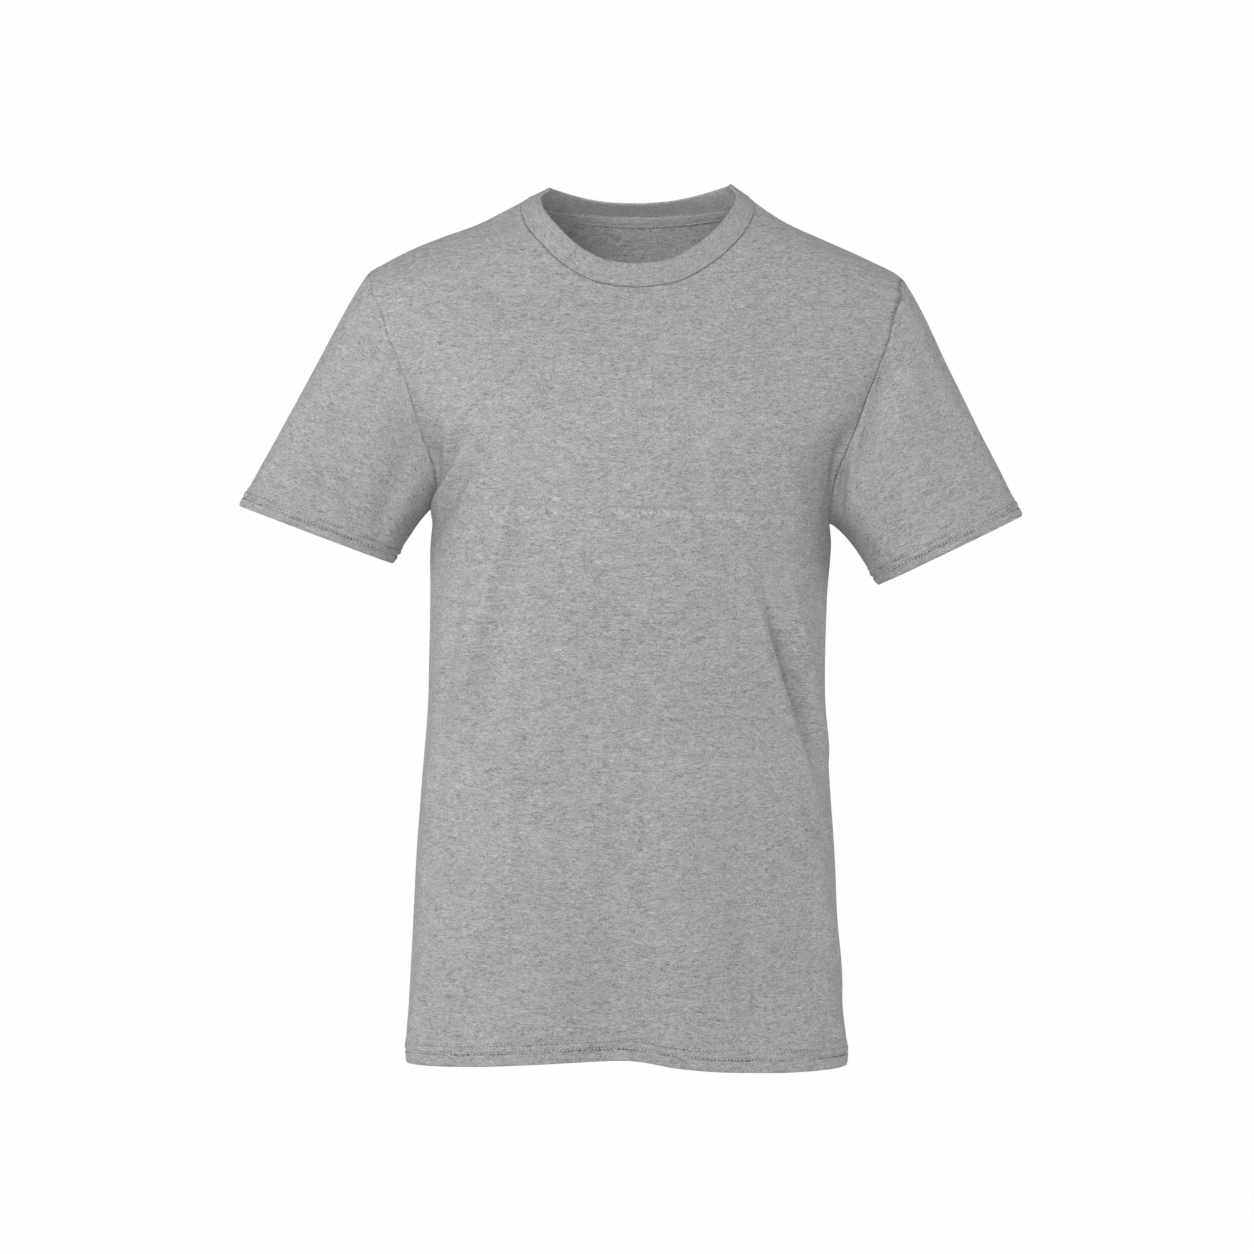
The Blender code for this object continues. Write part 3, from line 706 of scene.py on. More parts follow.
def make_panel(face):
    """One face's shell, from inside its turned hem to the neckline."""
    across = panel_columns(PANEL_COLUMNS)
    levels, insets = panel_rows()
    a, b = np.meshgrid(across, levels)
    inset = np.broadcast_to(insets[:, None], a.shape)
    outward = -FACING[face]

    def surface(x, y):
        return panel_points(face, x, y)

    base = surface(a, b)
    inner_a = np.clip(a, PANEL_NUDGE, 1 - PANEL_NUDGE)
    inner_b = np.clip(b, PANEL_NUDGE, 2 - PANEL_NUDGE)
    normals = surface_normals(surface, inner_a, inner_b, PANEL_NUDGE, outward)
    run = running_length(base, axis=1)
    from_sides = np.minimum(run, run[:, -1:] - run)
    rise = running_length(base, axis=0)
    from_top = rise[-1:] - rise
    above_hem = b * (UNDERARM[0] - HEM_EDGE)
    above_fine = above_hem - FINE_ROWS - 2
    base = rounded_lines(base, np.minimum(from_top, np.maximum(above_fine, 0)), from_sides, 7.0)
    inner = smoothstep(from_sides / 6.0) * smoothstep(from_top / 6.0) * smoothstep(above_fine / 10.0)
    normals = unit(lerp(normals, grid_normals(base, outward), inner[..., None]))
    # creases, slow waves that are stronger near the hem, the hem itself, and the seams
    calm = smoothstep(from_sides / 22.0)
    move = crease_heights(face, base) * smoothstep(from_sides / 7.0)
    move += 0.55 * ripple(base, 95, 3 if face == "front" else 4) * calm * smoothstep(from_top / 60)
    move += 1.1 * ripple(base * (1, 1, 0.3), 70, 8) * np.exp(-((above_hem / 60.0) ** 2)) * calm
    hem, hem_shade = stitched_hem(above_hem, run, BODY_HEM, BODY_STITCH_ROWS, 20)
    move += hem + seam_dip(from_sides) + seam_dip(from_top, NECK_SEAM_DEPTH)
    points = base + normals * (move - inset)[..., None]
    piece = add_grid(face + "_shell", len(across), len(levels))
    lay_grid(piece, points)
    set_uv(piece, flat_cloth(base - normals * inset[..., None], len(across) // 2))
    # painted shade: a line along the side, armhole and shoulder seams, darker and wider in the fold under the
    # arm, a line along the neckline, and bands under the hem's stitch rows
    underarm_fold_shade = np.exp(-(((base[..., 2] - PINCH_HEIGHT) / PINCH_REACH) ** 2))
    shade = (0.55 + 0.35 * underarm_fold_shade) * seam_shade(from_sides, SEAM_LINE + 1.6 * underarm_fold_shade)
    set_painted_shade(piece, shade + seam_shade(from_top) + hem_shade * (inset == 0))
    point_outwards(piece, (0, FACING[face], 0))
    thicken(piece, CLOTH)
    lines = stitch_lines(points, normals, above_hem, insets, BODY_STITCH_ROWS)
    return Panel(piece, base, normals, lines)


def flat_cloth(points, up_column):
    """Flatten a sheet the way it was cut, from a coarse copy, with one column upright, in mm."""
    rows, columns = points.shape[:2]
    row_picks = np.unique(np.append(np.arange(0, rows, 5), rows - 1))
    column_picks = np.unique(np.append(np.arange(0, columns, 5), columns - 1))
    copy = add_grid("flat_copy", len(column_picks), len(row_picks))
    lay_grid(copy, points[row_picks][:, column_picks])
    edit_whole(copy, bpy.ops.uv.unwrap, method="MINIMUM_STRETCH", margin=0.0, iterations=20)
    mesh = copy.data
    uv = np.empty(len(mesh.loops) * 2, np.float32)
    mesh.uv_layers.active.data.foreach_get("uv", uv)
    index = np.empty(len(mesh.loops), np.int32)
    mesh.loops.foreach_get("vertex_index", index)
    flat = np.zeros((len(mesh.vertices), 2))
    flat[index] = uv.reshape(-1, 2)
    bpy.data.objects.remove(copy)
    coarse = flat.reshape(len(row_picks), len(column_picks), 2)
    wide = np.empty((len(row_picks), columns, 2))
    grid = np.empty((rows, columns, 2))
    for k in range(2):
        for r in range(len(row_picks)):
            wide[r, :, k] = np.interp(np.arange(columns), column_picks, coarse[r, :, k])
        for c in range(columns):
            grid[:, c, k] = np.interp(np.arange(rows), row_picks, wide[:, c, k])
    low, high = grid[rows // 5, up_column], grid[rows // 2, up_column]
    real = running_length(points, axis=0)
    size = (real[rows // 2, up_column] - real[rows // 5, up_column]) / np.linalg.norm(high - low)
    turn = math.atan2(high[0] - low[0], high[1] - low[1])
    spin = np.array([[math.cos(turn), -math.sin(turn)], [math.sin(turn), math.cos(turn)]])
    return (grid - low) @ spin.T * size


# ---------------------------------------------------------------- the sleeves


def armhole_points(side, turn):
    """Armhole seam from the underarm up the front to the tip (half a turn) and down the back."""
    rise = (1 - np.cos(turn)) / 2
    edge = np.full_like(turn, 0.0 if side == "right" else 1.0)
    front = panel_points("front", edge, 1 + TIP_SHARE * rise)
    back = panel_points("back", edge, 1 + TIP_SHARE * rise)
    return np.where((np.sin(turn) >= 0)[..., None], front, back)


def armhole_outwards(side, turn):
    """At the armhole: the panel's own direction out across the seam."""
    rise = (1 - np.cos(turn)) / 2
    level = 1 + TIP_SHARE * np.clip(rise, 0.01, 0.99)
    inside, edge = (0.012, 0.0) if side == "right" else (0.988, 1.0)
    away = []
    for face in ("front", "back"):
        outer = panel_points(face, np.full_like(turn, edge), level)
        inner = panel_points(face, np.full_like(turn, inside), level)
        away.append(unit(outer - inner))
    blend = smoothstep(0.5 + 0.5 * np.sin(turn) / 0.4)[..., None]
    return unit(away[1] * (1 - blend) + away[0] * blend)


def cuff_points(cuff, turn):
    """The cuff's edge, round from its inner end by the front, and the slant from inner to outer end."""
    inner = np.array([cuff.inner_x, -cuff.forward, cuff.inner_z])
    outer = np.array([cuff.outer_x, -cuff.forward, cuff.outer_z])
    middle = (inner + outer) / 2
    end = middle + (inner - middle) * np.cos(turn)[:, None]
    end = end + np.array([0, -cuff.half_depth, 0]) * np.sin(turn)[:, None]
    return end, unit(outer - inner)


def sleeve_points(cuff, turn, share):
    """Points of a sleeve, share 0 at the armhole and 1 at the cuff's edge."""
    turn, share = np.broadcast_arrays(turn, share)
    line = turn[0]
    start = armhole_points(cuff.side, line)
    end, slant = cuff_points(cuff, line)
    reach = end - start
    length = np.linalg.norm(reach, axis=-1, keepdims=True)
    top = (1 - np.cos(line))[:, None] / 2
    side = math.copysign(1.0, cuff.outer_x)
    heading = unit(unit(reach) + np.array([side, 0, 0]) * UNDERARM_SWING * (1 - top) ** 4)
    down = np.array([slant[2] * side, 0, -slant[0] * side])
    start_pull = heading * length
    end_pull = lerp(reach, down * length, SLEEVE_END_TURN)
    roll = armhole_outwards(cuff.side, line) * SLEEVE_CAP_ROLL * top
    t = share[..., None]
    ease = t * t * (3 - 2 * t)
    bend = start_pull * t * (1 - t) ** 2 - end_pull * t * t * (1 - t)
    return start + reach * ease + bend + roll * t * (1 - t) ** 6


def sleeve_rows(length):
    """Shares of a sleeve's rows, for each length of its columns, and how far inside each row lies."""
    hem_top = SLEEVE_HEM + 3.0
    shares = [step / length for step in EDGE_STEPS[:-1]]
    for part in np.linspace(0, 1, 58):
        shares.append(lerp(EDGE_STEPS[-1] / length, 1 - hem_top / length, part))
    shares += [1 - height / length for height in np.arange(hem_top - HEM_STEP, 0.7, -HEM_STEP)]
    turned = turned_hem(SLEEVE_HEM)[::-1]
    insets = [0.0] * len(shares) + [inset for _, inset in turned]
    shares += [1 - height / length for height, _ in turned]
    return np.array(shares), np.array(insets)


def make_sleeve(cuff):
    """One sleeve's shell, and its lines for stitches."""
    where = "sleeve_" + cuff.side
    front = SLEEVE_COLUMNS // 4
    top = SLEEVE_COLUMNS // 2
    turn = np.linspace(0, 2 * math.pi, SLEEVE_COLUMNS + 1)
    turn[-1] = 0.0
    length = np.linalg.norm(cuff_points(cuff, turn)[0] - armhole_points(cuff.side, turn), axis=-1)
    share, insets = sleeve_rows(length)
    t, inset = np.broadcast_arrays(turn, insets[:, None])

    def surface(x, y):
        return sleeve_points(cuff, x, np.clip(y, 0, 1))

    base = surface(t, share)
    normals = surface_normals(surface, t, share, SLEEVE_NUDGE, 1.0)
    if normals[:, front, 1].mean() > 0:
        normals = -normals
    above_cuff = (1 - share) * length
    from_seam = share * length
    run = running_length(base, axis=1)
    # creases on the front half, shifted copies of them on the back half, and slow waves
    front_side = smoothstep(0.5 - normals[..., 1] * 1.4)
    calm = smoothstep(from_seam / 14.0)
    shifted = base + np.array([14.0, 0, 22.0])
    move = crease_heights(where, base) * front_side * smoothstep(from_seam / 5.0)
    move += 0.6 * ripple(base, 60, 11 if cuff.side == "right" else 12) * calm
    move += 0.9 * crease_heights(where, shifted) * (1 - front_side) * calm
    hem, hem_shade = stitched_hem(above_cuff, run, SLEEVE_HEM, SLEEVE_STITCH_ROWS, 30)
    points = base + normals * (move + hem + seam_dip(from_seam) - inset)[..., None]
    points[:, -1] = points[:, 0]
    piece = add_grid("sleeve_shell_" + cuff.side, len(turn), len(share))
    lay_grid(piece, points)
    # painted shade along the armhole seam and under the cuff's stitch rows
    set_painted_shade(piece, 0.55 * seam_shade(from_seam) + hem_shade * (inset == 0))
    around = run - run[:, top:top + 1]
    set_uv(piece, np.stack([around, np.where(inset > FOLD_OVER * 0.6, -above_cuff, above_cuff)], axis=-1))
    merge_edges(piece)
    point_outwards(piece, normals[len(share) // 2, top])
    thicken(piece, CLOTH)
    return piece, stitch_lines(points, normals, above_cuff, insets, SLEEVE_STITCH_ROWS)


# ---------------------------------------------------------------- the collar and the tape

# The section of the folded band: how far up from the seam, and how far out of its middle
Section = namedtuple("Section", "up out")
COLLAR_SECTION = (
    Section(-0.6, -1.30), Section(-0.5, -0.60), Section(-0.3, 0.20), Section(0.3, 0.75), Section(1.0, 1.05),
    Section(2.2, 1.20), Section(4.5, 1.15), Section(7.5, 1.15), Section(10.5, 1.15), Section(13.5, 1.15),
    Section(16.2, 1.15), Section(17.8, 1.05), Section(18.8, 0.75), Section(19.35, 0.35), Section(19.5, -0.1),
    Section(19.3, -0.55), Section(18.7, -0.90), Section(17.6, -1.15), Section(15.0, -1.25),
    Section(11.5, -1.25), Section(8.0, -1.25), Section(4.5, -1.25), Section(2.0, -1.30), Section(0.6, -1.50),
)


def turned_about(vectors, axes, angles):
    """Turn vectors about unit axes by angles, one for each."""
    cosine, sine = np.cos(angles)[:, None], np.sin(angles)[:, None]
    along = (vectors * axes).sum(axis=-1, keepdims=True) * axes
    return along + (vectors - along) * cosine + np.cross(axes, vectors) * sine


def eased_round(vectors, times):
    """Unit vectors round a closed loop, each averaged with its neighbours."""
    for _ in range(times):
        vectors = unit(vectors + (np.roll(vectors, 1, axis=0) + np.roll(vectors, -1, axis=0)) * 0.5)
    return vectors


def collar_frame(front, back):
    """Round the neckline: the seam's points, the way up the band, and the way out of it."""
    loop = np.concatenate([front.base[-1], back.base[-1][-2:0:-1]])
    normals = eased_round(np.concatenate([front.normals[-1], back.normals[-1][-2:0:-1]]), 12)
    run = eased_round(np.roll(loop, -1, axis=0) - np.roll(loop, 1, axis=0), 6)
    up = unit(np.cross(normals, run))
    lean = np.radians(lean_at(loop[:, 1]))
    rise = turned_about(up, unit(np.cross(normals, up)), lean)
    # ease the band's top edge over a stretch of the neckline
    steps = np.linalg.norm(np.roll(loop, -1, axis=0) - loop, axis=1)
    place = np.concatenate([[0], np.cumsum(steps)[:-1]])
    apart = np.abs(place[:, None] - place[None, :])
    apart = np.minimum(apart, steps.sum() - apart)
    weights = np.exp(-0.5 * (apart / COLLAR_EASE) ** 2) * (steps + np.roll(steps, 1))[None, :]
    top = loop + rise * COLLAR_WIDTH
    rise = unit(weights @ top / weights.sum(axis=1, keepdims=True) - loop)
    return loop, rise, unit(np.cross(run, rise))


def make_collar(front, back):
    """The folded rib band, and the length of its seam."""
    loop, rise, out = collar_frame(front, back)
    run = running_length(np.concatenate([loop, loop[:1]]), axis=0)
    wave = 0.25 * np.sin(run[:-1] / 31.0) + 0.2 * np.sin(run[:-1] / 13.0 + 1.0)
    rows = []
    for part in COLLAR_SECTION:
        swell = wave * math.sin(math.pi * max(part.up, 0) / COLLAR_WIDTH)
        rows.append(loop + rise * part.up + out * (part.out + swell)[:, None])
    rows.append(rows[0])
    points = np.array(rows)
    points = np.concatenate([points, points[:, :1]], axis=1)
    piece = add_grid("rib_collar", points.shape[1], points.shape[0])
    lay_grid(piece, points)
    fold = COLLAR_SECTION.index(max(COLLAR_SECTION))
    ups = [part.up if i < fold else 2 * COLLAR_WIDTH - part.up for i, part in enumerate(COLLAR_SECTION)]
    ups.append(2 * COLLAR_WIDTH + 1)
    u, v = np.meshgrid(run, ups)
    set_uv(piece, np.stack([u, v], axis=-1))
    # painted shade on the rows at and next to the neck seam
    deep = np.zeros(points.shape[:2])
    deep[:3] = 1.0
    deep[3] = 0.4
    deep[-1] = 1.0
    set_painted_shade(piece, deep)
    merge_edges(piece)
    edit_whole(piece, bpy.ops.mesh.normals_make_consistent, inside=False)
    bpy.ops.object.shade_smooth()
    return piece, run[-1]


def tape_points(back, down, lift):
    """Points on the inside of the back neck, at distances below the neckline, and the outer cloth's normals."""
    base, cloth_normals = back.base[::-1], back.normals[::-1]
    fall = running_length(base, axis=0)
    columns = base.shape[1]
    points = np.empty((len(down), len(TAPE_ACROSS), 3))
    normals = np.empty_like(points)
    for i, pick in enumerate(np.interp(TAPE_ACROSS, np.linspace(0, 1, columns), np.arange(columns))):
        low = int(min(pick, columns - 2))
        for axis in range(3):
            for grid, result in ((base, points), (cloth_normals, normals)):
                ends = [np.interp(down, fall[:, c], grid[:, c, axis]) for c in (low, low + 1)]
                result[:, i, axis] = lerp(ends[0], ends[1], pick - low)
    normals = unit(normals)
    return points - normals * np.asarray(lift)[:, None, None], normals


def make_tape(back):
    """The tape on the back neck seam, and its length."""
    points, normals = tape_points(back, TAPE_DOWN, TAPE_PUFF)
    middle = len(TAPE_DOWN) // 2
    piece = add_grid("back_neck_tape_cloth", len(TAPE_ACROSS), len(TAPE_DOWN))
    lay_grid(piece, points)
    run = running_length(points, axis=1)
    set_uv(piece, np.stack([run, np.broadcast_to(-TAPE_DOWN[:, None], run.shape)], axis=-1))
    set_painted_shade(piece, np.zeros(run.shape))
    point_outwards(piece, -normals[middle, len(TAPE_ACROSS) // 2])
    thicken(piece, TAPE_CLOTH)
    return piece, run[middle, -1]


# ---------------------------------------------------------------- stitches


def make_stitch():
    """One stitch: a short thread, fat in the middle and tucked in at its ends."""
    bpy.ops.object.select_all(action="DESELECT")
    bpy.ops.mesh.primitive_uv_sphere_add(segments=6, ring_count=5, radius=1.0)
    stitch = bpy.context.object
    here = (0, 0, 0)
    edit_whole(stitch, bpy.ops.transform.rotate, value=math.pi / 2, orient_axis="Y", center_override=here)
    edit_whole(stitch, bpy.ops.transform.resize, value=STITCH_SIZE, center_override=here)
    corners = np.empty(len(stitch.data.vertices) * 3, np.float32)
    stitch.data.vertices.foreach_get("co", corners)
    faces = [tuple(face.vertices) for face in stitch.data.polygons]
    bpy.data.objects.remove(stitch)
    return corners.reshape(-1, 3), faces


def stitch_lines(points, normals, heights, insets, rows):
    """Lines across a sheet's outer face at heights above its edge, lifted off it, and their normals."""
    outer = insets == 0
    p, n, h = points[outer], normals[outer], heights[outer]
    order = np.argsort(h, axis=0)
    lines = []
    for row in rows:
        line, face = np.empty_like(p[0]), np.empty_like(n[0])
        for c in range(p.shape[1]):
            pick = order[:, c]
            for k in range(3):
                line[c, k] = np.interp(row, h[pick, c], p[pick, c, k])
                face[c, k] = np.interp(row, h[pick, c], n[pick, c, k])
        face = unit(face)
        lines.append((line + face * STITCH_LIFT, face))
    return lines


def along_line(line, run, place):
    """What a line's points or directions come to at a distance along it."""
    return np.array([np.interp(place, run, line[:, k]) for k in range(3)])


def sew(name, lines, stitch):
    """Join copies of one stitch along lines, each line points and outward normals in mm."""
    corners, faces = stitch
    verts, polys = [], []
    rng = np.random.default_rng(len(name))
    for points, normals in lines:
        run = running_length(points, axis=0)
        count = int(run[-1] / STITCH_PITCH)
        for place in (np.arange(count) + 0.5) * run[-1] / count:
            ahead = along_line(points, run, place + STITCH_REACH)
            along = unit(ahead - along_line(points, run, place - STITCH_REACH))
            out = unit(along_line(normals, run, place))
            out = unit(out - along * (out @ along))
            side = np.cross(out, along)
            tilt = rng.normal(0, 0.05)
            heading = along * math.cos(tilt) + side * math.sin(tilt)
            side = side * math.cos(tilt) - along * math.sin(tilt)
            start = len(verts)
            shape = corners * rng.uniform(0.95, 1.05) @ np.array([heading, side, out])
            verts.extend(along_line(points, run, place) + shape)
            polys.extend(tuple(start + k for k in face) for face in faces)
    mesh = bpy.data.meshes.new(name)
    mesh.from_pydata([tuple(v) for v in np.array(verts) * MM], [], polys)
    mesh.update()
    piece = bpy.data.objects.new(name, mesh)
    bpy.context.scene.collection.objects.link(piece)
    edit_whole(piece, bpy.ops.mesh.normals_make_consistent, inside=False)
    bpy.ops.object.shade_smooth()
    return piece


# ---------------------------------------------------------------- finishes


class Sum:
    """A shader value that takes part in Python sums."""

    def __init__(self, nodes, socket):
        self.nodes = nodes
        self.socket = socket

    def math(self, operation, *values):
        return self.nodes.node("ShaderNodeMath", {"operation": operation}, values)

    def __add__(self, other):
        return self.math("ADD", self, other)

    def __radd__(self, other):
        return self.math("ADD", other, self)

    def __sub__(self, other):
        return self.math("SUBTRACT", self, other)

    def __rsub__(self, other):
        return self.math("SUBTRACT", other, self)

    def __mul__(self, other):
        return self.math("MULTIPLY", self, other)

    def __rmul__(self, other):
        return self.math("MULTIPLY", other, self)

    def __abs__(self):
        return self.math("ABSOLUTE", self)


class Nodes:
    """A node tree under construction."""

    def __init__(self, tree):
        self.tree = tree

    def node(self, kind, settings, values, output=0):
        """Add a node: its settings first, then its sockets, by place or by name."""
        made = self.tree.nodes.new(kind)
        for key, value in settings.items():
            setattr(made, key, value)
        pairs = values.items() if isinstance(values, dict) else enumerate(values)
        for key, value in pairs:
            self.set(made.inputs[key], value)
        return Sum(self, made.outputs[output]) if made.outputs else None

    def set(self, socket, value):
        if isinstance(value, Sum):
            self.tree.links.new(value.socket, socket)
        else:
            socket.default_value = value


class Finish(Nodes):
    """The finish of a cloth, a thread or the floor."""

    def __init__(self, name):
        self.material = bpy.data.materials.new(name)
        self.material.use_nodes = True
        super().__init__(self.material.node_tree)
        self.shader = self.tree.nodes["Principled BSDF"]

    def look(self, looks):
        """Set the shader's sockets, by name."""
        for name, value in looks.items():
            self.set(self.shader.inputs[name], value)

    def scaled(self, vector, by):
        """A colour or a place, multiplied by a number."""
        return self.node("ShaderNodeVectorMath", {"operation": "SCALE"}, {0: vector, "Scale": by})

    def cloth_mm(self):
        """The cloth's own coordinates, in mm."""
        return self.scaled(self.node("ShaderNodeUVMap", {"uv_map": "cloth"}, []), 1 / MM)

    def noise(self, place, size, offset, detail=1.0, distortion=0.0):
        """Noise whose features are about size mm along and across the knit."""
        mapping = {"Vector": place, "Location": offset, "Scale": (1 / size[0], 1 / size[1], 1.0)}
        at = self.node("ShaderNodeMapping", {}, mapping)
        values = {"Vector": at, "Scale": 1.0, "Detail": detail, "Distortion": distortion}
        return self.node("ShaderNodeTexNoise", {"noise_dimensions": "2D"}, values)

    def ridges(self, place, scale, distortion, detail):
        """Even ridges across the knit, one for each unit of the scaled place."""
        at = self.node("ShaderNodeMapping", {}, {"Vector": place, "Scale": scale})
        values = {"Vector": at, "Scale": WAVE_PER_UNIT, "Distortion": distortion, "Detail": detail}
        return self.node("ShaderNodeTexWave", {"bands_direction": "X"}, values)

    def ramp(self, value, low, high):
        """Smoothly 0 below low to 1 above high."""
        settings = {"interpolation_type": "SMOOTHSTEP"}
        sockets = {"Value": value, "From Min": low, "From Max": high}
        return self.node("ShaderNodeMapRange", settings, sockets)

    def squiggle(self, place, seed, size, thin):
        """Short wiggly lines that lie along the knit, 0 to 1."""
        field = self.noise(place, size, (seed, seed * 0.7, 0), distortion=0.5)
        line = self.ramp(abs(field - 0.5), thin, 0.0)
        gate = self.noise(place, (5.5, 2.6), (seed * 1.3, -seed, 0), detail=0.0)
        return line * self.ramp(gate, 0.50, 0.62)


GREY = (0.405, 0.405, 0.417)
RIB_GREY = (0.395, 0.395, 0.407)
TAPE_GREY = (0.385, 0.385, 0.395)
THREAD_GREY = (0.60, 0.60, 0.61)
KNIT_PITCH = 0.72
RIB_PITCH = 1.3
# the scale at which a wave node makes one ridge for each unit
WAVE_PER_UNIT = 0.3142


def heather(name, grey, streak, rib_pitch=0.0, mottle=1.0):
    """Heather knit, with its sizes in mm. Painted shade darkens it into the seams and under the stitch rows."""
    finish = Finish(name)
    place = finish.cloth_mm()
    # lengthwise flecks, fine grain, single fibres, and slow clouds
    fleck = finish.noise(place, (3.6, 1.25), (3, 7, 0), distortion=0.9)
    long_fleck = finish.noise(place, (5.2, 1.6), (23, 41, 0), distortion=1.1)
    grain = finish.noise(place, (1.1, 0.9), (5, 2, 0))
    pale = finish.squiggle(place, 17.0, (6.5, 2.0), 0.05)
    dark = finish.squiggle(place, 73.0, (6.0, 1.9), 0.05)
    patch = finish.noise(place, (16.0, 7.0), (11, 5, 0), detail=2.0)
    cloud = finish.noise(place, (80.0, 55.0), (2, 9, 0), detail=2.0)
    seam = finish.node("ShaderNodeAttribute", {"attribute_name": "seam"}, [], output=2)
    tone = 1.0 + streak * (3.2 * (fleck - 0.5) + 2.6 * (long_fleck - 0.5) + 4.2 * (grain - 0.5))
    tone = tone + streak * (1.3 * pale - 1.2 * dark)
    tone = tone + mottle * (0.32 * (patch - 0.5) + 0.12 * (cloud - 0.5))
    # painted shade from the seam attribute, in the seams, under the stitch rows and in the fold below the arm,
    # broken up along the knit
    shade_breakup = finish.noise(place, (1.7, 6.0), (31, 17, 0), detail=0.0)
    tone = tone * (1.0 - seam * (0.25 + 0.6 * finish.ramp(shade_breakup, 0.35, 0.65)))
    # relief: the knit's stitches, and the raised fibres
    across = finish.ridges(place, (1 / KNIT_PITCH, 1 / KNIT_PITCH, 1.0), 0.6, detail=1.0)
    relief = 1.3 * fleck + 1.0 * long_fleck + 0.3 * grain + 0.3 * pale - 0.3 * dark + 0.08 * across
    if rib_pitch:
        relief = relief + 0.5 * finish.ridges(place, (1 / rib_pitch, 0.02, 1.0), 0.4, detail=2.0)
    bump = finish.node("ShaderNodeBump", {}, {"Height": relief, "Strength": 0.6, "Distance": 0.0006})
    finish.look({
        "Base Color": finish.scaled(grey, tone), "Normal": bump, "Roughness": 0.92,
        "Specular IOR Level": 0.18, "Sheen Weight": 0.06, "Sheen Roughness": 0.5,
    })
    return finish.material


def thread_finish():
    """Pale thread with uneven spots. It reads the Object coordinates, output 3."""
    finish = Finish("sewing_thread")
    place = finish.node("ShaderNodeTexCoord", {}, [], output=3)
    spots = finish.node("ShaderNodeTexNoise", {}, {"Vector": place, "Scale": 900.0, "Detail": 1.0})
    finish.look({"Base Color": finish.scaled(THREAD_GREY, 0.86 + 0.28 * spots), "Roughness": 0.7})
    return finish.material


def dress(piece, material, node):
    """Finish a piece, put it in its CAD solid's place and let it ride with the shirt."""
    piece.data.materials.clear()
    piece.data.materials.append(material)
    if node:
        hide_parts(node)
    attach(piece, "root")


# ---------------------------------------------------------------- camera, light and floor

VIEW_PLACE = (-0.0057, -4.0, -0.3513)
VIEW_WIDTH = 1.022
MIDDLE = (0, 0, -0.35)
CHEST = (0, 0, -0.1)

# in metres and watts, with the spread in degrees
Lamp = namedtuple("Lamp", "name place target size power spread")
LAMPS = (
    Lamp("key_softbox", (-1.6, -3.2, 0.9), CHEST, (1.6, 1.6), 15.6, 90),
    Lamp("fill_softbox", (1.6, -3.6, 0.1), CHEST, (1.7, 1.9), 2.6, 90),
    Lamp("top_softbox", (0.1, -1.7, 2.2), CHEST, (1.6, 1.0), 13.0, 180),
    Lamp("bounce_card", (0.1, -3.0, -0.9), (0, 0, -0.12), (1.6, 0.5), 2.3, 60),
    Lamp("right_strip", (-3.4, 0.6, -0.2), MIDDLE, (1.2, 2.2), 40.0, 180),
    Lamp("left_strip", (3.4, 0.6, -0.2), MIDDLE, (1.2, 2.2), 40.0, 180),
    # a small one inside the neck, that lights the tape
    Lamp("neck_lamp", (0.015, -0.05, -0.11), (0.01, 0.07, -0.025), (0.16, 0.03), 0.050, 180),
)
BACKDROP_WHITE = (0.992, 0.992, 0.992, 1)
ROOM_LIGHT = 0.31
FLOOR_HEIGHT = -1.35
FLOOR_GREY = (0.86, 0.86, 0.86, 1)


def add_camera():
    """Level with the middle of the shirt, four metres in front of it."""
    bpy.ops.object.camera_add(location=VIEW_PLACE, rotation=(math.pi / 2, 0, 0))
    camera = bpy.context.object
    camera.data.sensor_width = 36.0
    camera.data.lens = camera.data.sensor_width * -VIEW_PLACE[1] / VIEW_WIDTH
    camera.data.clip_end = 50.0
    bpy.context.scene.camera = camera


def add_lamp(lamp):
    bpy.ops.object.light_add(type="AREA", location=lamp.place)
    made = bpy.context.object
    made.name = lamp.name
    made.data.shape = "RECTANGLE"
    made.data.size, made.data.size_y = lamp.size
    made.data.energy = lamp.power
    made.data.spread = math.radians(lamp.spread)
    made.visible_camera = False
    made.rotation_euler = (Vector(lamp.target) - Vector(lamp.place)).to_track_quat("-Z", "Y").to_euler()


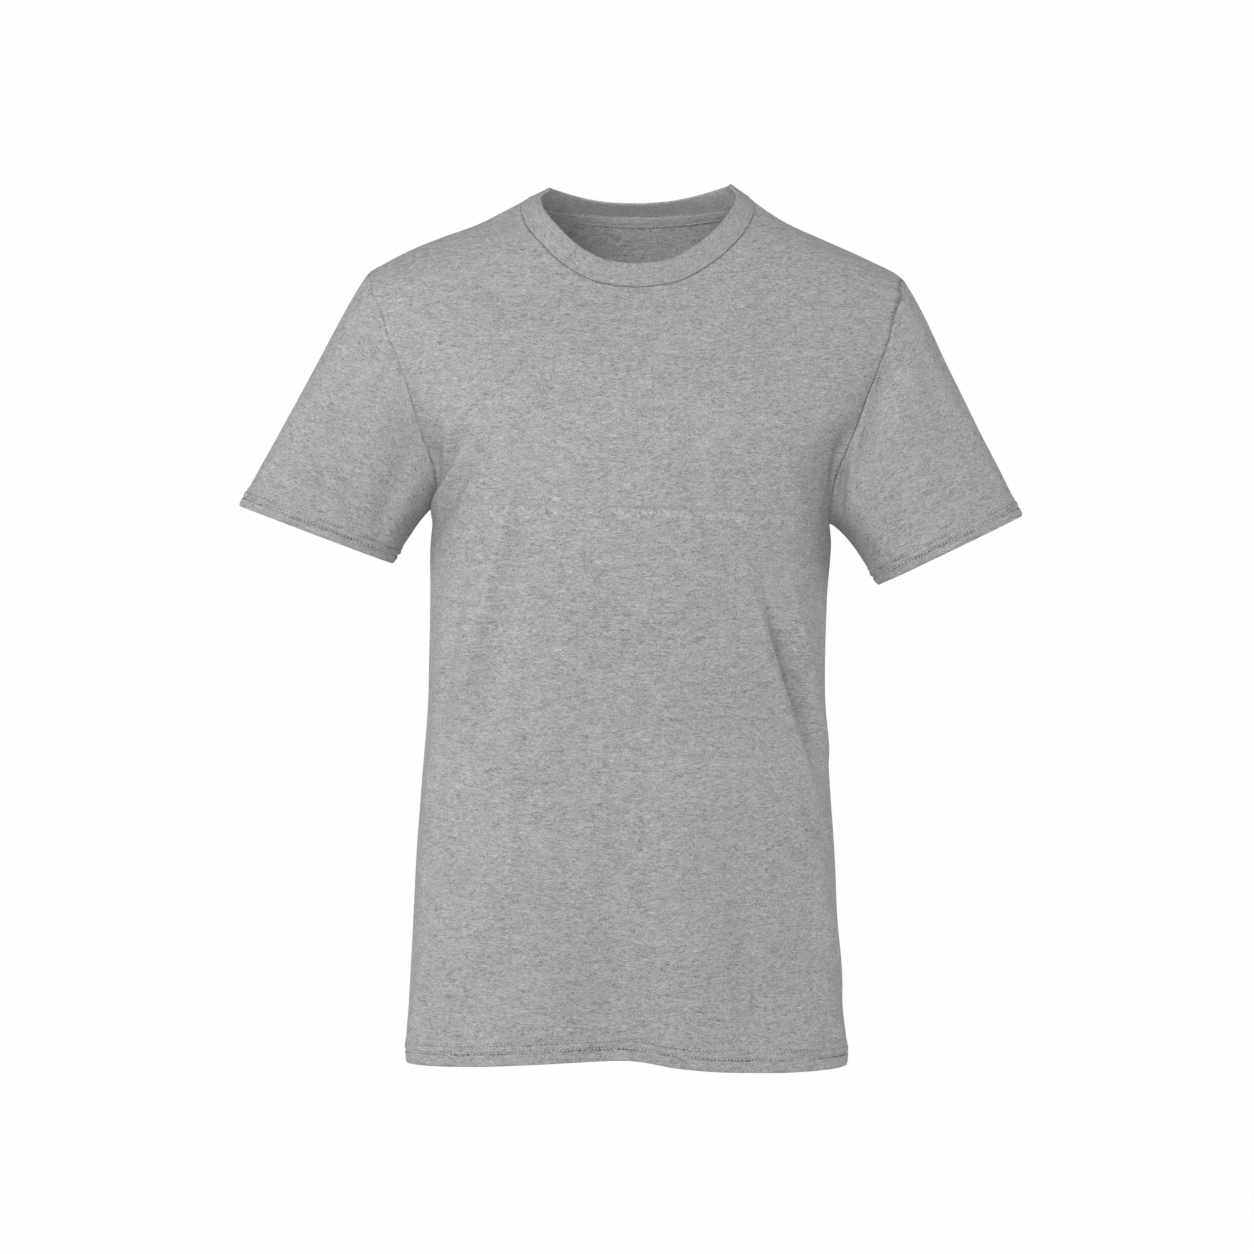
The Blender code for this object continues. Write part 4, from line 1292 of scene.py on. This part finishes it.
def add_backdrop():
    """White behind the shirt, and a dimmer even light on it."""
    world = bpy.data.worlds.new("studio_white")
    bpy.context.scene.world = world
    world.use_nodes = True
    world.node_tree.nodes.clear()
    nodes = Nodes(world.node_tree)
    seen = nodes.node("ShaderNodeBackground", {}, {"Color": BACKDROP_WHITE, "Strength": 1.0})
    room = nodes.node("ShaderNodeBackground", {}, {"Strength": ROOM_LIGHT})
    camera_ray = nodes.node("ShaderNodeLightPath", {}, [])
    mixed = nodes.node("ShaderNodeMixShader", {}, [camera_ray, room, seen])
    nodes.node("ShaderNodeOutputWorld", {}, [mixed])


def add_floor():
    bpy.ops.object.select_all(action="DESELECT")
    bpy.ops.mesh.primitive_circle_add(vertices=96, radius=2.3, fill_type="NGON", location=(0, 0, FLOOR_HEIGHT))
    floor = bpy.context.object
    floor.name = "studio_floor"
    paint = Finish("pale_floor")
    paint.look({"Base Color": FLOOR_GREY, "Roughness": 0.8})
    floor.data.materials.append(paint.material)


# ---------------------------------------------------------------- the shirt


def main():
    jersey = heather("heather_jersey", GREY, 0.22)
    rib = heather("heather_rib", RIB_GREY, 0.20, rib_pitch=RIB_PITCH, mottle=0.6)
    tape_cloth = heather("neck_tape", TAPE_GREY, 0.16, mottle=0.5)
    thread = thread_finish()
    stitch = make_stitch()

    def add_stitches(name, lines):
        stitches = sew(name, lines, stitch)
        dress(stitches, thread, None)
        return stitches

    panels = {face: make_panel(face) for face in ("front", "back")}
    sleeves = {cuff.side: make_sleeve(cuff) for cuff in CUFFS}
    collar, collar_length = make_collar(panels["front"], panels["back"])
    tape, tape_length = make_tape(panels["back"])
    dress(collar, rib, "neck_rib")
    dress(tape, tape_cloth, "back_neck_tape")
    for face, panel in panels.items():
        dress(panel.piece, jersey, face + "_panel")
        stitches = add_stitches(face + "_hem_stitches", panel.stitch_lines)
    tape_lines = []
    for down in TAPE_STITCH_ROWS:
        line, normals = tape_points(panels["back"], [down], [TAPE_STITCH_LIFT])
        tape_lines.append((line[0], -normals[0]))
    stitches = add_stitches("neck_tape_stitches", tape_lines)
    round(collar_length * MM, 3)
    round(tape_length * MM, 3)
    for side, (sleeve, lines) in sleeves.items():
        dress(sleeve, jersey, "sleeve_" + side)
        stitches = add_stitches(side + "_sleeve_stitches", lines)
    add_camera()
    for lamp in LAMPS:
        add_lamp(lamp)
    add_backdrop()
    add_floor()
    bpy.context.scene.view_settings.view_transform = "Standard"


main()
